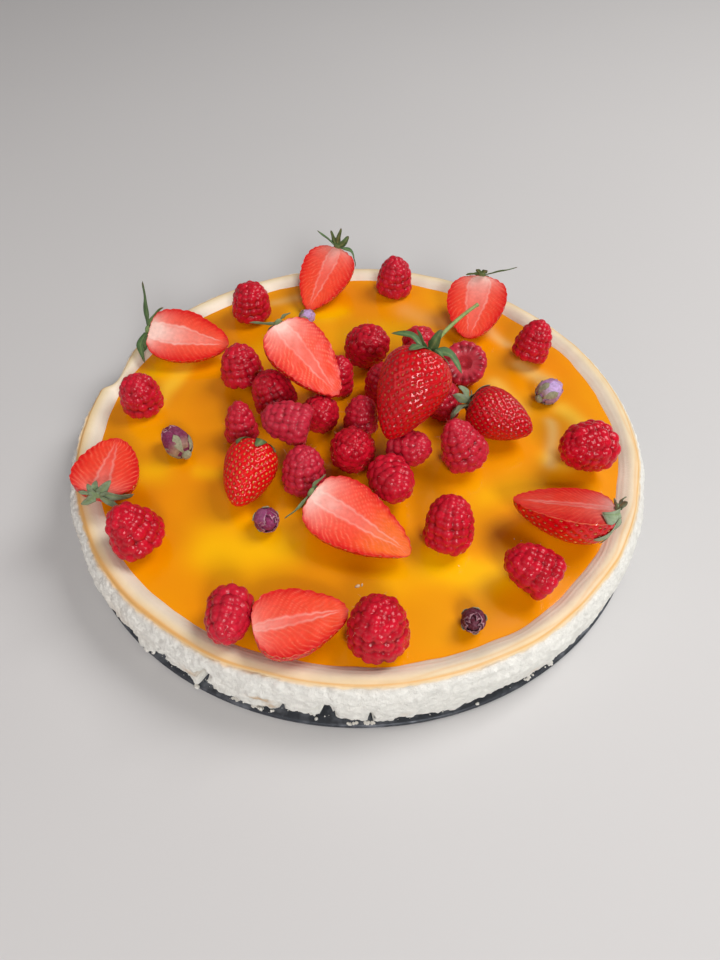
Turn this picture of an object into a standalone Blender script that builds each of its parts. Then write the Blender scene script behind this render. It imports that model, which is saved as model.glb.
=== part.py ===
"""Baked cheesecake, 24 cm, on its springform base, under a mango glaze with berries and rosebuds.

Lengths in the tables are millimetres, angles are degrees, and the model is in metres, +Z up.
The origin is the middle of the underside of the tin base, and -Y is the front of the cake.
"""
import math
import random

import bmesh
import bpy
from mathutils import Vector

MM = 0.001
GAP = 0.3

TIN_RADIUS = 122.6
TIN_THICKNESS = 2.0
TIN_EDGE = 0.7

RIM_RADIUS = 118.0
RIM_HEIGHT = 26.0
BULGE = 4.8
FOOT_HEIGHT = TIN_THICKNESS + GAP
POOL_RADIUS = 110.6
POOL_FLOOR = 21.6
GLAZE_TOP = 23.3
ROUND_STEPS = 64

# The ring's radius, its height, and how far the uneven wall and foot may move it.
BODY_RINGS = [
    (RIM_RADIUS + 1.2, FOOT_HEIGHT, 1.6),
    (RIM_RADIUS + 2.8, FOOT_HEIGHT + 2.0, 1.3),
    (RIM_RADIUS + 4.2, 8.5, 0.8),
    (RIM_RADIUS + BULGE, 14.0, 0.7),
    (RIM_RADIUS + 4.5, 19.0, 0.6),
    (RIM_RADIUS + 2.8, 23.0, 0.4),
    (RIM_RADIUS + 0.8, 25.4, 0.3),
    (RIM_RADIUS - 0.8, RIM_HEIGHT + 0.1, 0.3),
    (RIM_RADIUS - 3.0, RIM_HEIGHT, 0.3),
    (RIM_RADIUS - 5.2, 24.9, 0.5),
    (POOL_RADIUS + 0.3, 23.6, 0.8),
    (POOL_RADIUS - 1.1, 22.4, 0.8),
    (POOL_RADIUS - 4.6, POOL_FLOOR, 0.8),
]
GLAZE_RINGS = [
    (POOL_RADIUS - 4.7, POOL_FLOOR + GAP, 0.8),
    (POOL_RADIUS - 1.3, 22.4 + GAP, 0.8),
    (POOL_RADIUS - 0.6, GLAZE_TOP - 0.15, 0.8),
    (POOL_RADIUS - 1.0, GLAZE_TOP, 0.8),
]
# The dent at the left: its middle's angle, half its width, and its depth at the rim.
DENT_ANGLE = 163.0
DENT_HALF_WIDTH = 9.5
DENT_DEPTH = 3.4

# How far a strawberry's widest part slides to its calyx.
SHOULDER = 1.45
# A raspberry's dome: how blunt its tip is, and where its lip starts to round in.
DOME_POWER = 2.3
LIP_START = 0.7

# Each raspberry: x, y, lift off the glaze, length, width, lean from upright, heading of its tip,
# and how much thinner its tip is than a dome.
RASPBERRIES = [
    (-54.1, 79.3, 0.0, 19.6, 19.4, 6, 90, 0.05),
    (-96.0, 12.6, 0.0, 19.4, 18.5, 4, 200, 0.05),
    (-83.8, -61.2, 0.0, 20.0, 22.8, 20, 165, 0.44),
    (-43.7, -96.8, 0.0, 19.9, 16.5, 80, 266, 0.0),
    (7.3, -100.0, 0.0, 22.2, 22.4, 8, 90, 0.12),
    (62.4, -76.6, 0.0, 21.0, 18.8, 68, 158, 0.15),
    (34.3, -57.5, 0.0, 22.6, 19.5, 14, 90, 0.10),
    (91.8, -19.4, 0.0, 22.6, 22.2, 68, 208, 0.15),
    (82.1, 50.0, 0.0, 20.0, 17.7, 20, 40, 0.12),
    (17.7, 101.9, 0.0, 20.7, 19.0, 3, 90, 0.12),
    (-53.7, 30.6, 0.0, 19.3, 20.0, 18, 120, 0.15),
    (-38.0, 13.4, 0.0, 19.0, 19.6, 26, 140, 0.12),
    (-50.0, -4.6, 0.0, 18.8, 15.5, 14, 95, 0.35),
    (-29.1, -13.4, 8.5, 20.9, 18.1, 78, 172, 0.10),
    (-16.2, 0.2, 0.0, 18.8, 17.0, 40, 285, 0.10),
    (-21.6, -31.4, 0.0, 20.5, 18.2, 16, 95, 0.08),
    (-2.2, -20.9, 0.0, 20.0, 19.2, 30, 275, 0.05),
    (1.2, 1.6, 0.0, 17.5, 15.4, 10, 80, 0.10),
    (4.4, 43.2, 0.0, 21.0, 21.0, 40, 300, 0.10),
    (10.4, 22.0, 0.0, 18.5, 16.8, 8, 90, 0.10),
    (27.4, 47.0, 0.0, 18.5, 17.0, 46, 250, 0.10),
    (47.6, 32.8, 0.0, 20.0, 20.0, 136, 80, 0.0),
    (36.4, 12.6, 0.0, 18.5, 16.6, 10, 200, 0.10),
    (41.4, -17.6, 0.0, 22.6, 21.0, 26, 160, 0.42),
    (13.4, -37.8, 0.0, 22.5, 17.8, 64, 286, 0.05),
    (21.4, -19.0, 0.0, 18.0, 16.6, 60, 330, 0.10),
    (-23.6, 44.4, 0.0, 19.0, 17.6, 10, 60, 0.10),
    (-10.2, 26.4, 0.0, 19.0, 16.8, 8, 30, 0.10),
]
# Each strawberry half: x, y, lift, length, width, depth, heading of the tip, pitch, roll, and how
# its tip thins.
STRAWBERRY_HALVES = [
    (-19.3, 97.2, 0.0, 38.0, 28.0, 13.0, 246, 24, -8, 0.36),
    (-80.0, 48.6, 0.0, 38.0, 27.0, 12.0, 352, 6, 26, 0.14),
    (-97.8, -33.5, 2.2, 28.0, 26.5, 11.5, 86, -2, 8, 0.14),
    (-18.6, -98.4, 0.0, 33.5, 27.0, 12.5, 16, 4, 0, 0.24),
    (1.0, -58.0, 0.0, 44.0, 29.0, 13.0, 328, 8, 12, 0.38),
    (-21.8, 16.6, 15.0, 41.5, 28.5, 12.5, 312, 20, 4, 0.36),
    (56.2, 73.4, 0.0, 35.0, 30.0, 13.0, 256, 24, 4, 0.14),
    (77.4, -50.4, 0.0, 38.0, 29.5, 15.5, 172, 2, 23, 0.30),
]
# Each whole strawberry: x, y, lift, length, width, heading of the tip, pitch, and how its tip thins.
WHOLE_STRAWBERRIES = [
    (-43.9, -34.2, 0.0, 29.0, 22.0, 258, 8, 0.28),
    (19.4, -7.6, 15.0, 39.0, 30.0, 240, 34, 0.42),
    (60.3, -0.9, 0.0, 29.0, 22.4, 331, 6, 0.26),
]
# Each calyx: its berry, then its leaves, each with an angle round the berry's axis
# (0 at its left, 90 at its top), a length, a width, a bend towards the tip and a twist along its
# run. A leaf takes at most LEAF_SHARE of the angle to the next one.
CALYXES = {
    "strawberry_half_1": [
        (175, 12, 4.5, -12, -40), (130, 8, 4, -24, 0), (88, 12, 3, -16, 0), (45, 8, 4.5, -30, 0),
        (-8, 14, 4.5, 40, 50), (250, 8, 4, 0, 0),
    ],
    "strawberry_half_2": [
        (35, 20, 4.5, -4, 20), (2, 12, 4, 26, 0), (195, 15, 5.5, 14, -60), (232, 16, 5.5, 6, -60),
        (280, 8, 4, 0, 0), (320, 9, 4, 0, 0),
    ],
    "strawberry_half_3": [
        (10, 6, 4, 0, 0), (50, 5, 4.5, 12, 0), (88, 6, 4.5, 20, 0), (128, 9, 5, 15, 0), (165, 13, 5.5, 5, 0),
        (205, 10, 5, -15, 0), (318, 7, 4.5, -20, 0),
    ],
    "strawberry_half_5": [(20, 8, 3.5, 10, 0), (192, 13, 3, -10, 0), (240, 8, 3, -10, 0), (310, 8, 3.5, 0, 0)],
    "strawberry_half_6": [(12, 6, 3, 0, 0), (185, 11, 2.8, -32, 0), (230, 8, 3.5, 0, 0), (310, 8, 3.5, 0, 0)],
    "strawberry_half_7": [
        (2, 17, 3, -10, 0), (60, 5, 3.5, 10, 0), (120, 5, 3.5, 10, 0), (175, 7, 3, 10, 0), (230, 8, 4, 0, 0),
        (310, 8, 4, 0, 0),
    ],
    "strawberry_half_8": [
        (12, 11, 4.5, 55, 20), (335, 15, 5, 50, 20), (298, 11, 4.5, 40, 20), (55, 6, 4, -20, 0), (100, 5, 3, -30, 0),
        (180, 6, 3, 0, 0), (240, 7, 4, 0, 0),
    ],
    "strawberry_whole_1": [
        (70, 11, 5, 50, 0), (125, 11, 4.5, 50, 0), (20, 9, 4.5, 40, 0), (180, 9, 4, 30, 0), (235, 7, 4, 0, 0),
        (310, 7, 4, 0, 0),
    ],
    "strawberry_whole_2": [
        (172, 16, 5, 5, -60), (138, 9, 4, -30, 0), (105, 8, 4, 50, 0), (62, 12, 5.5, -35, 0), (20, 9, 4, 30, 30),
        (345, 16, 6, 20, 60), (290, 7, 4, 0, 0), (235, 8, 4, 0, -30),
    ],
    "strawberry_whole_3": [
        (0, 7, 4, -20, 0), (50, 8, 4.5, 50, 0), (92, 9, 5, -45, 0), (135, 9, 5, -30, -30), (175, 10, 5, 0, -60),
        (218, 9, 4.5, -10, -60), (290, 7, 4, 0, 0),
    ],
}
HUB_RADIUS = 1.6
LEAF_SHARE = 0.44
SKIN_CLEARANCE = 1.0
CALYX_THICKNESS = 0.5
STEM_BERRY = "strawberry_whole_2"
STEM_DIRECTION = (0.70, 0.66, 0.28)
STEM_LENGTH = 29.0
STEM_RADIUS = 0.9
STEM_BOW = 5.0
# Each rosebud: x, y, lift, length, width, heading of the tip, pitch.
ROSEBUDS = [
    (-76.5, -12.1, 0.0, 16.0, 11.0, 130, -14),
    (-34.8, -52.8, 0.0, 11.5, 9.4, 295, -28),
    (40.4, -95.0, 0.0, 10.5, 8.2, 260, -44),
    (86.0, 21.6, 0.0, 13.5, 10.5, 35, -12),
    (-26.2, 75.4, 0.0, 8.5, 6.8, 20, -10),
]

# Base colour, roughness and metallic value of each finish.
FINISHES = {
    "tin_grey": ((0.075, 0.080, 0.090), 0.38, 0.6),
    "cheesecake_cream": ((0.87, 0.80, 0.68), 0.75, 0.0),
    "mango_orange": ((0.86, 0.36, 0.01), 0.12, 0.0),
    "raspberry_red": ((0.52, 0.012, 0.045), 0.42, 0.0),
    "strawberry_red": ((0.68, 0.016, 0.012), 0.28, 0.0),
    "leaf_green": ((0.07, 0.16, 0.05), 0.55, 0.0),
    "petal_purple": ((0.24, 0.05, 0.16), 0.8, 0.0),
}


def clear_scene():
    """Take every object out of the file."""
    for old in list(bpy.data.objects):
        bpy.data.objects.remove(old, do_unlink=True)


def make_materials():
    """One Principled BSDF material for each finish."""
    made = {}
    for name, (colour, roughness, metallic) in FINISHES.items():
        material = bpy.data.materials.new(name)
        material.use_nodes = True
        shader = material.node_tree.nodes["Principled BSDF"]
        shader.inputs["Base Color"].default_value = (*colour, 1.0)
        shader.inputs["Roughness"].default_value = roughness
        shader.inputs["Metallic"].default_value = metallic
        made[name] = material
    return made


def make_collection(name):
    """A collection linked under the scene's own."""
    made = bpy.data.collections.new(name)
    bpy.context.scene.collection.children.link(made)
    return made


def add_object(name, bm, material, collection):
    """Turn a bmesh in millimetres into a named, smooth object in metres."""
    bmesh.ops.scale(bm, vec=(MM, MM, MM), verts=bm.verts)
    bmesh.ops.recalc_face_normals(bm, faces=bm.faces)
    mesh = bpy.data.meshes.new(name)
    bm.to_mesh(mesh)
    bm.free()
    mesh.materials.append(material)
    mesh.shade_smooth()
    made = bpy.data.objects.new(name, mesh)
    collection.objects.link(made)
    return made


def rest(made, x, y, lift):
    """Stand an object over (x, y) with its lowest point GAP plus lift above the glaze."""
    turn = made.rotation_euler.to_matrix()
    lowest = min((turn @ corner.co).z for corner in made.data.vertices)
    made.location = (x * MM, y * MM, (GLAZE_TOP + GAP + lift) * MM - lowest)


def sway(angle):
    """Uneven hand-made roundness, from -1 to 1 along the angle round the cake."""
    wave = 0.45 * math.sin(5 * angle + 0.7) + 0.35 * math.sin(13 * angle + 2.1)
    return wave + 0.2 * math.sin(29 * angle)


def dent(angle):
    """The dent's share, 1 at its middle and 0 outside it."""
    away = abs(math.degrees(angle) % 360 - DENT_ANGLE) / DENT_HALF_WIDTH
    return 0.5 + 0.5 * math.cos(math.pi * away) if away < 1 else 0.0


def turned(rings, steps):
    """A closed turned solid: rings of (radius, height, swing) joined up and capped at both ends.

    Spinning the line through the rings round Z makes the wall, and each wall point then
    moves out or in along its radius by swing times sway(angle).
    """
    bm = bmesh.new()
    line = [(0.0, rings[0][1], 0.0), *rings, (0.0, rings[-1][1], 0.0)]
    points = [bm.verts.new((radius, 0, height)) for radius, height, _ in line]
    edges = [bm.edges.new(pair) for pair in zip(points, points[1:])]
    bmesh.ops.spin(
        bm, geom=points + edges, cent=(0, 0, 0), axis=(0, 0, 1), angle=math.tau, steps=steps, use_merge=True
    )
    bmesh.ops.remove_doubles(bm, verts=bm.verts, dist=0.01)
    bmesh.ops.triangulate(bm, faces=bm.faces)
    swings = {(round(radius, 2), round(height, 2)): swing for radius, height, swing in line}
    for point in bm.verts:
        radius = math.hypot(point.co.x, point.co.y)
        swing = swings[(round(radius, 2), round(point.co.z, 2))]
        if swing == 0.0:
            continue
        angle = math.atan2(point.co.y, point.co.x)
        grown = radius + swing * sway(angle)
        if radius > POOL_RADIUS:
            grown -= DENT_DEPTH * dent(angle) * (radius - POOL_RADIUS) / (RIM_RADIUS - POOL_RADIUS)
        point.co.x *= grown / radius
        point.co.y *= grown / radius
    return bm


def tin_base():
    """The springform's flat disc with a rounded edge."""
    rings = [
        (TIN_RADIUS - TIN_EDGE, 0.0, 0.0),
        (TIN_RADIUS, TIN_EDGE, 0.0),
        (TIN_RADIUS, TIN_THICKNESS - TIN_EDGE, 0.0),
        (TIN_RADIUS - TIN_EDGE, TIN_THICKNESS, 0.0),
    ]
    return turned(rings, ROUND_STEPS)


def bell(down, cone):
    """A raspberry's radius share from its tip, at 0, to its open end, at 1: a dome with a rounded lip."""
    dome = math.sqrt(1.0 - (1.0 - down) ** DOME_POWER)
    lip = math.sqrt(1.0 - max(0.0, (down - LIP_START) / (1.0 - LIP_START)) ** 4)
    return dome * lip * (1.0 - cone * (1.0 - down))


def raspberry(length, width, cone, chance):
    """A thimble of 42 drupelets with its tip at +Z and a hollow end at -Z.

    The corners of an icosphere are the drupelets' tops. Poking each triangle and turning
    the old edges joins the sunken points between them.
    """
    bm = bmesh.new()
    bmesh.ops.create_icosphere(bm, subdivisions=2, radius=1.0)
    tops = set(bm.verts)
    old_edges = list(bm.edges)
    bmesh.ops.poke(bm, faces=bm.faces)
    bmesh.ops.rotate_edges(bm, edges=old_edges, use_ccw=False)
    for point in bm.verts:
        way = point.co.normalized()
        out = 1.0 if point in tops else 0.88
        out *= chance.uniform(0.97, 1.03)
        across = out * bell((1.0 - way.z) / 2, cone)
        along = out * way.z
        if way.z < -0.9:
            along = -0.55
        side = Vector((way.x, way.y, 0.0))
        if side.length > 0:
            side.normalize()
        point.co = side * across * width / 2
        point.co.z = along * length / 2
    return bm


def strawberry(length, width, depth, taper, segments, rings):
    """A heart-shaped berry along +X, tip at +X: a globe whose middle slides to the shoulder."""
    bm = bmesh.new()
    bmesh.ops.create_uvsphere(bm, u_segments=segments, v_segments=rings, radius=1.0)
    for point in bm.verts:
        down = (1.0 + point.co.z) / 2
        fall = down ** SHOULDER
        narrow = 1.0 - taper * down ** 3
        point.co = Vector((
            (fall - 0.5) * length,
            point.co.x * narrow * width / 2,
            point.co.y * narrow * depth,
        ))
    return bm


def strawberry_half(length, width, depth, taper):
    """The lower half of a berry, closed by its flat cut face."""
    bm = strawberry(length, width, depth, taper, 16, 11)
    everything = bm.verts[:] + bm.edges[:] + bm.faces[:]
    bmesh.ops.bisect_plane(bm, geom=everything, plane_co=(0, 0, 0), plane_no=(0, 0, 1), clear_outer=True)
    bmesh.ops.holes_fill(bm, edges=[edge for edge in bm.edges if edge.is_boundary])
    bmesh.ops.triangulate(bm, faces=bm.faces)
    return bm


def skin_radius(x, length, width, taper):
    """The berry's radius at x along its axis, by the same rule as its globe, or 0 behind its end."""
    share = x / length + 0.5
    if not 0.0 < share < 1.0:
        return 0.0
    down = share ** (1 / SHOULDER)
    return math.sqrt(1.0 - (2.0 * down - 1.0) ** 2) * (1.0 - taper * down ** 3) * width / 2


def floor_height(x, y):
    """The height of the cake's top under a point, or a depth far below it beside the cake."""
    radius = math.hypot(x, y)
    if radius < POOL_RADIUS - 2:
        return GLAZE_TOP
    return RIM_HEIGHT + 0.3 if radius < RIM_RADIUS + BULGE else -50.0


def leaf_point(back, angle, reach, bend):
    """A point of a leaf: reach out from the berry's axis, bent towards its tip."""
    out = reach * math.cos(math.radians(bend))
    return Vector((back + reach * math.sin(math.radians(bend)), out * math.cos(angle), out * math.sin(angle)))


def clear_of_berry(near, far, berry_size, is_half):
    """Whether the straight line between two leaf points stays off the berry."""
    for share in (0.0, 0.25, 0.5, 0.75, 1.0):
        spot = near.lerp(far, share)
        if is_half and spot.z > SKIN_CLEARANCE:
            continue
        bound = skin_radius(spot.x - SKIN_CLEARANCE * 0.6, *berry_size)
        bound = max(bound, skin_radius(spot.x + SKIN_CLEARANCE * 0.6, *berry_size))
        if spot.x > -berry_size[0] / 2 - CALYX_THICKNESS and math.hypot(spot.y, spot.z) < bound + SKIN_CLEARANCE:
            return False
    return True


def clear_of_cake(spot, place):
    """Whether a leaf point, placed in the world, stays above the cake's top."""
    placed = (place @ (spot * MM)) / MM
    return placed.z > floor_height(placed.x, placed.y) + CALYX_THICKNESS + GAP


def fit_leaf(leaf, room, back, berry_size, is_half, place, wave):
    """The leaf's two middle corners and its tip, shortened and straightened until they are clear."""
    angle, reach, width, bend, twist = leaf
    behind = math.sin(math.radians(abs(twist))) * width / 2
    flat = math.cos(math.radians(twist)) * width / 2
    for share in (1.0, 0.88, 0.76, 0.64, 0.52, 0.4, 0.3):
        for ease in (1.0, 0.8, 0.6, 0.4, 0.2, 0.0):
            middle_reach = 0.55 * reach * share
            half = math.asin(min(flat / middle_reach, 0.75))
            before, after = (min(half, LEAF_SHARE * side) for side in room)
            lean = bend * ease * (0.15 if bend > 0 else 0.6)
            corners = [
                leaf_point(back - 2 * behind * (twist > 0), angle - before, middle_reach, lean + wave[0]),
                leaf_point(back - 2 * behind * (twist < 0), angle + after, middle_reach, lean + wave[1]),
                leaf_point(back - behind, angle, reach * share, bend * ease + wave[2]),
            ]
            middle = (corners[0] + corners[1]) / 2
            ends = [(middle, corners[2]), (corners[0], corners[2]), (corners[1], corners[2])]
            off_berry = all(clear_of_berry(near, far, berry_size, is_half) for near, far in ends)
            if off_berry and all(clear_of_cake(spot, place) for spot in corners):
                return corners
    return corners


def leaf_ring(leaves, berry_size, is_half, place, chance):
    """A star of wavy leaves behind the berry's broad end, as one open sheet.

    Each leaf runs out from a small hub: a foot corner on each side that it shares with its
    neighbour, two corners at the middle, and the tip.
    """
    back = -berry_size[0] / 2 - GAP - CALYX_THICKNESS
    leaves = sorted((math.radians(angle % 360), *rest_of_leaf) for angle, *rest_of_leaf in leaves)
    bm = bmesh.new()
    middle = bm.verts.new((back, 0, 0))
    feet, rooms = [], []
    for leaf, after in zip(leaves, leaves[1:] + leaves[:1]):
        rooms.append((after[0] - leaf[0]) % math.tau)
        turn = leaf[0] + rooms[-1] / 2
        feet.append(bm.verts.new((back, HUB_RADIUS * math.cos(turn), HUB_RADIUS * math.sin(turn))))
    for number, leaf in enumerate(leaves):
        wave = [-chance.uniform(0, 5), -chance.uniform(0, 5), chance.uniform(-4, 4)]
        room = (rooms[number - 1], rooms[number])
        corners = fit_leaf(leaf, room, back, berry_size, is_half, place, wave)
        right, left, tip = (bm.verts.new(corner) for corner in corners)
        first, second = feet[number - 1], feet[number]
        bm.faces.new((middle, first, second))
        bm.faces.new((first, right, left))
        bm.faces.new((first, left, second))
        bm.faces.new((right, tip, left))
    return bm


def stem_mesh():
    """The tapered stalk as a bent cone: its rings slide sideways most at half height."""
    bm = bmesh.new()
    bmesh.ops.create_cone(
        bm, cap_ends=True, segments=6, radius1=STEM_RADIUS, radius2=STEM_RADIUS * 0.8, depth=STEM_LENGTH
    )
    long_edges = [edge for edge in bm.edges if edge.calc_length() > STEM_LENGTH / 2]
    bmesh.ops.subdivide_edges(bm, edges=long_edges, cuts=3)
    for point in bm.verts:
        up = point.co.z / STEM_LENGTH + 0.5
        point.co.z += STEM_LENGTH / 2
        point.co.x += STEM_BOW * up * (1.0 - up)
    return bm


def rosebud(length, width, chance):
    """A closed bud along +X: a globe drawn to a blunt tip with five petal folds that twist round it."""
    bm = bmesh.new()
    bmesh.ops.create_uvsphere(bm, u_segments=10, v_segments=7, radius=1.0)
    turn = chance.uniform(0, math.tau)
    for point in bm.verts:
        angle = math.atan2(point.co.y, point.co.x)
        fold = 1.0 + 0.08 * math.cos(5 * angle + 2.5 * point.co.z + turn)
        taper = 1.0 - 0.25 * point.co.z
        point.co = Vector((
            point.co.z * length / 2,
            point.co.x * fold * taper * width / 2,
            point.co.y * fold * taper * width / 2,
        ))
    return bm


def add_raspberries(collection, material):
    """Every raspberry in its place, each with its own small unevenness."""
    for number, (x, y, lift, length, width, lean, heading, cone) in enumerate(RASPBERRIES, 1):
        chance = random.Random(number)
        made = add_object(f"raspberry_{number:02d}", raspberry(length, width, cone, chance), material, collection)
        made.rotation_euler = (0.0, math.radians(lean), math.radians(heading))
        rest(made, x, y, lift)


def add_strawberries(collection, material):
    """The cut halves, cut face up, and the whole berries."""
    for number, (x, y, lift, length, width, depth, heading, pitch, roll, taper) in enumerate(STRAWBERRY_HALVES, 1):
        bm = strawberry_half(length, width, depth, taper)
        made = add_object(f"strawberry_half_{number}", bm, material, collection)
        made.rotation_euler = (math.radians(roll), math.radians(pitch), math.radians(heading))
        rest(made, x, y, lift)
    for number, (x, y, lift, length, width, heading, pitch, taper) in enumerate(WHOLE_STRAWBERRIES, 1):
        bm = strawberry(length, width, width / 2, taper, 16, 10)
        made = add_object(f"strawberry_whole_{number}", bm, material, collection)
        made.rotation_euler = (0.0, math.radians(pitch), math.radians(heading))
        rest(made, x, y, lift)


def add_calyxes(collection, cutters, material):
    """A ring of leaves at the broad end of each berry that shows one, the big one's with its stem."""
    tapers = {f"strawberry_half_{number}": row[-1] for number, row in enumerate(STRAWBERRY_HALVES, 1)}
    tapers |= {f"strawberry_whole_{number}": row[-1] for number, row in enumerate(WHOLE_STRAWBERRIES, 1)}
    for number, (berry, leaves) in enumerate(CALYXES.items(), 1):
        chance = random.Random(100 + number)
        host = bpy.data.objects[berry]
        berry_size = tuple(side / MM for side in host.dimensions[:2]) + (tapers[berry],)
        is_half = host.name.startswith("strawberry_half")
        bm = leaf_ring(leaves, berry_size, is_half, host.matrix_world, chance)
        made = add_object(f"calyx_{number:02d}", bm, material, collection)
        made.parent = host
        thick = made.modifiers.new("thickness", "SOLIDIFY")
        thick.thickness = CALYX_THICKNESS * MM
        thick.offset = 0.0
        if berry == STEM_BERRY:
            stem = add_object("stem_tool", stem_mesh(), material, cutters)
            stem.parent = host
            stem.location = (-berry_size[0] / 2 * MM - (GAP + CALYX_THICKNESS) * MM, 0, 0)
            way = host.matrix_world.to_3x3().inverted() @ Vector(STEM_DIRECTION)
            stem.rotation_euler = way.to_track_quat("Z", "Y").to_euler()
            stem.hide_render = True
            stem.display_type = "WIRE"
            join = made.modifiers.new("stem", "BOOLEAN")
            join.operation = "UNION"
            join.object = stem


def add_rosebuds(collection, material):
    """The dried rosebuds lying on the glaze."""
    for number, (x, y, lift, length, width, heading, pitch) in enumerate(ROSEBUDS, 1):
        chance = random.Random(200 + number)
        made = add_object(f"rosebud_{number}", rosebud(length, width, chance), material, collection)
        made.rotation_euler = (0.0, math.radians(pitch), math.radians(heading))
        rest(made, x, y, lift)


def main():
    clear_scene()
    materials = make_materials()
    cake = make_collection("baked_cheesecake")
    cutters = make_collection("cutters")
    add_object("tin_base", tin_base(), materials["tin_grey"], cake)
    add_object("cheesecake_body", turned(BODY_RINGS, ROUND_STEPS), materials["cheesecake_cream"], cake)
    add_object("mango_glaze", turned(GLAZE_RINGS, ROUND_STEPS), materials["mango_orange"], cake)
    add_raspberries(cake, materials["raspberry_red"])
    add_strawberries(cake, materials["strawberry_red"])
    bpy.context.view_layer.update()
    add_calyxes(cake, cutters, materials["leaf_green"])
    add_rosebuds(cake, materials["petal_purple"])


main()
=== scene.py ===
import math

import bpy
import numpy as np
from mathutils import Matrix, Vector


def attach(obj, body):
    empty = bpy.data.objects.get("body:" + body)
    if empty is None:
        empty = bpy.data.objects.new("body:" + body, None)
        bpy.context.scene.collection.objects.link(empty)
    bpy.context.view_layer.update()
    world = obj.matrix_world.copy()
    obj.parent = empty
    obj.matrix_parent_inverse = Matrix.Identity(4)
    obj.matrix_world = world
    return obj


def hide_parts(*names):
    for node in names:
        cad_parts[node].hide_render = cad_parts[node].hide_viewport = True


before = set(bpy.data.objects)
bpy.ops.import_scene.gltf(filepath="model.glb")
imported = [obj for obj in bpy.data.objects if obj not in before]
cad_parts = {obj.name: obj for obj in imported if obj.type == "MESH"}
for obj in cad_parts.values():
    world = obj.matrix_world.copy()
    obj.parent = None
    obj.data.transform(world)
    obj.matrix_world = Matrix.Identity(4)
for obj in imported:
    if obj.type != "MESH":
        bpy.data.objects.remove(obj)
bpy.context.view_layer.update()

# Looks of a baked cheesecake under a mango glaze, with raspberries, strawberries and rosebuds.
# Tables and shapes are in millimetres and degrees. Meshes are in metres, +Z up, and -Y is the front.

MM = 0.001

# The camera, set to the photograph's view of the cake.
CAMERA_PLACE = (0.0, -218.24, 250.29)
CAMERA_TILT = 39.963
CAMERA_YAW = -0.224
CAMERA_ROLL = 0.798
CAMERA_LENS = 27.04
CAMERA_SENSOR = 36.0

# The cake's main sizes.
TIN_RADIUS = 122.6
TIN_THICKNESS = 2.0
RIM_RADIUS = 118.0
RIM_HEIGHT = 26.0
BULGE = 4.8
POOL_RADIUS = 110.6
POOL_FLOOR = 21.6
GLAZE_TOP = 23.3
GAP = 0.3
# How far a berry that lies on the glaze settles into it.
SETTLE = 0.35

# The ring's radius, its height, and how far the uneven wall and foot may move it.
BODY_RINGS = [
    (RIM_RADIUS + 1.2, TIN_THICKNESS + 0.1, 1.6),
    (RIM_RADIUS + 2.8, TIN_THICKNESS + 2.3, 1.3),
    (RIM_RADIUS + 4.2, 8.5, 0.8),
    (RIM_RADIUS + BULGE, 14.0, 0.7),
    (RIM_RADIUS + 4.5, 19.0, 0.6),
    (RIM_RADIUS + 2.8, 23.0, 0.4),
    (RIM_RADIUS + 0.8, 25.4, 0.3),
    (RIM_RADIUS - 0.8, RIM_HEIGHT + 0.1, 0.3),
    (RIM_RADIUS - 3.0, RIM_HEIGHT, 0.3),
    (RIM_RADIUS - 5.2, 24.9, 0.5),
    (POOL_RADIUS + 0.3, 23.6, 0.8),
    (POOL_RADIUS - 1.1, 22.4, 0.8),
    (POOL_RADIUS - 4.6, POOL_FLOOR, 0.8),
]
# The glaze's edge, the same three values a ring.
GLAZE_RINGS = [
    (POOL_RADIUS - 4.7, POOL_FLOOR + 0.15, 0.8),
    (POOL_RADIUS - 1.2, 22.4 + 0.1, 0.8),
    (POOL_RADIUS + 1.2, GLAZE_TOP - 0.35, 0.8),
    (POOL_RADIUS + 1.5, GLAZE_TOP - 0.1, 0.8),
    (POOL_RADIUS + 1.1, GLAZE_TOP + 0.08, 0.8),
]
# The dent in the rim: its middle, half width and depth, and where its front side steps.
DENT_ANGLE = 163.0
DENT_HALF_WIDTH = 9.5
DENT_DEPTH = 3.4
DENT_STEP = 168.2

# How far a strawberry's widest part slides to its calyx.
SHOULDER = 1.45
# A raspberry's dome: how blunt its tip is, and where its lip starts to round in.
DOME_POWER = 4.0
LIP_START = 0.7
# How deep a drupelet's middle lies under the dome, and its radius, as shares of the drupelets' spacing.
DRUPELET_DEPTH = 0.595
DRUPELET_RADIUS = 0.63

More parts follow.
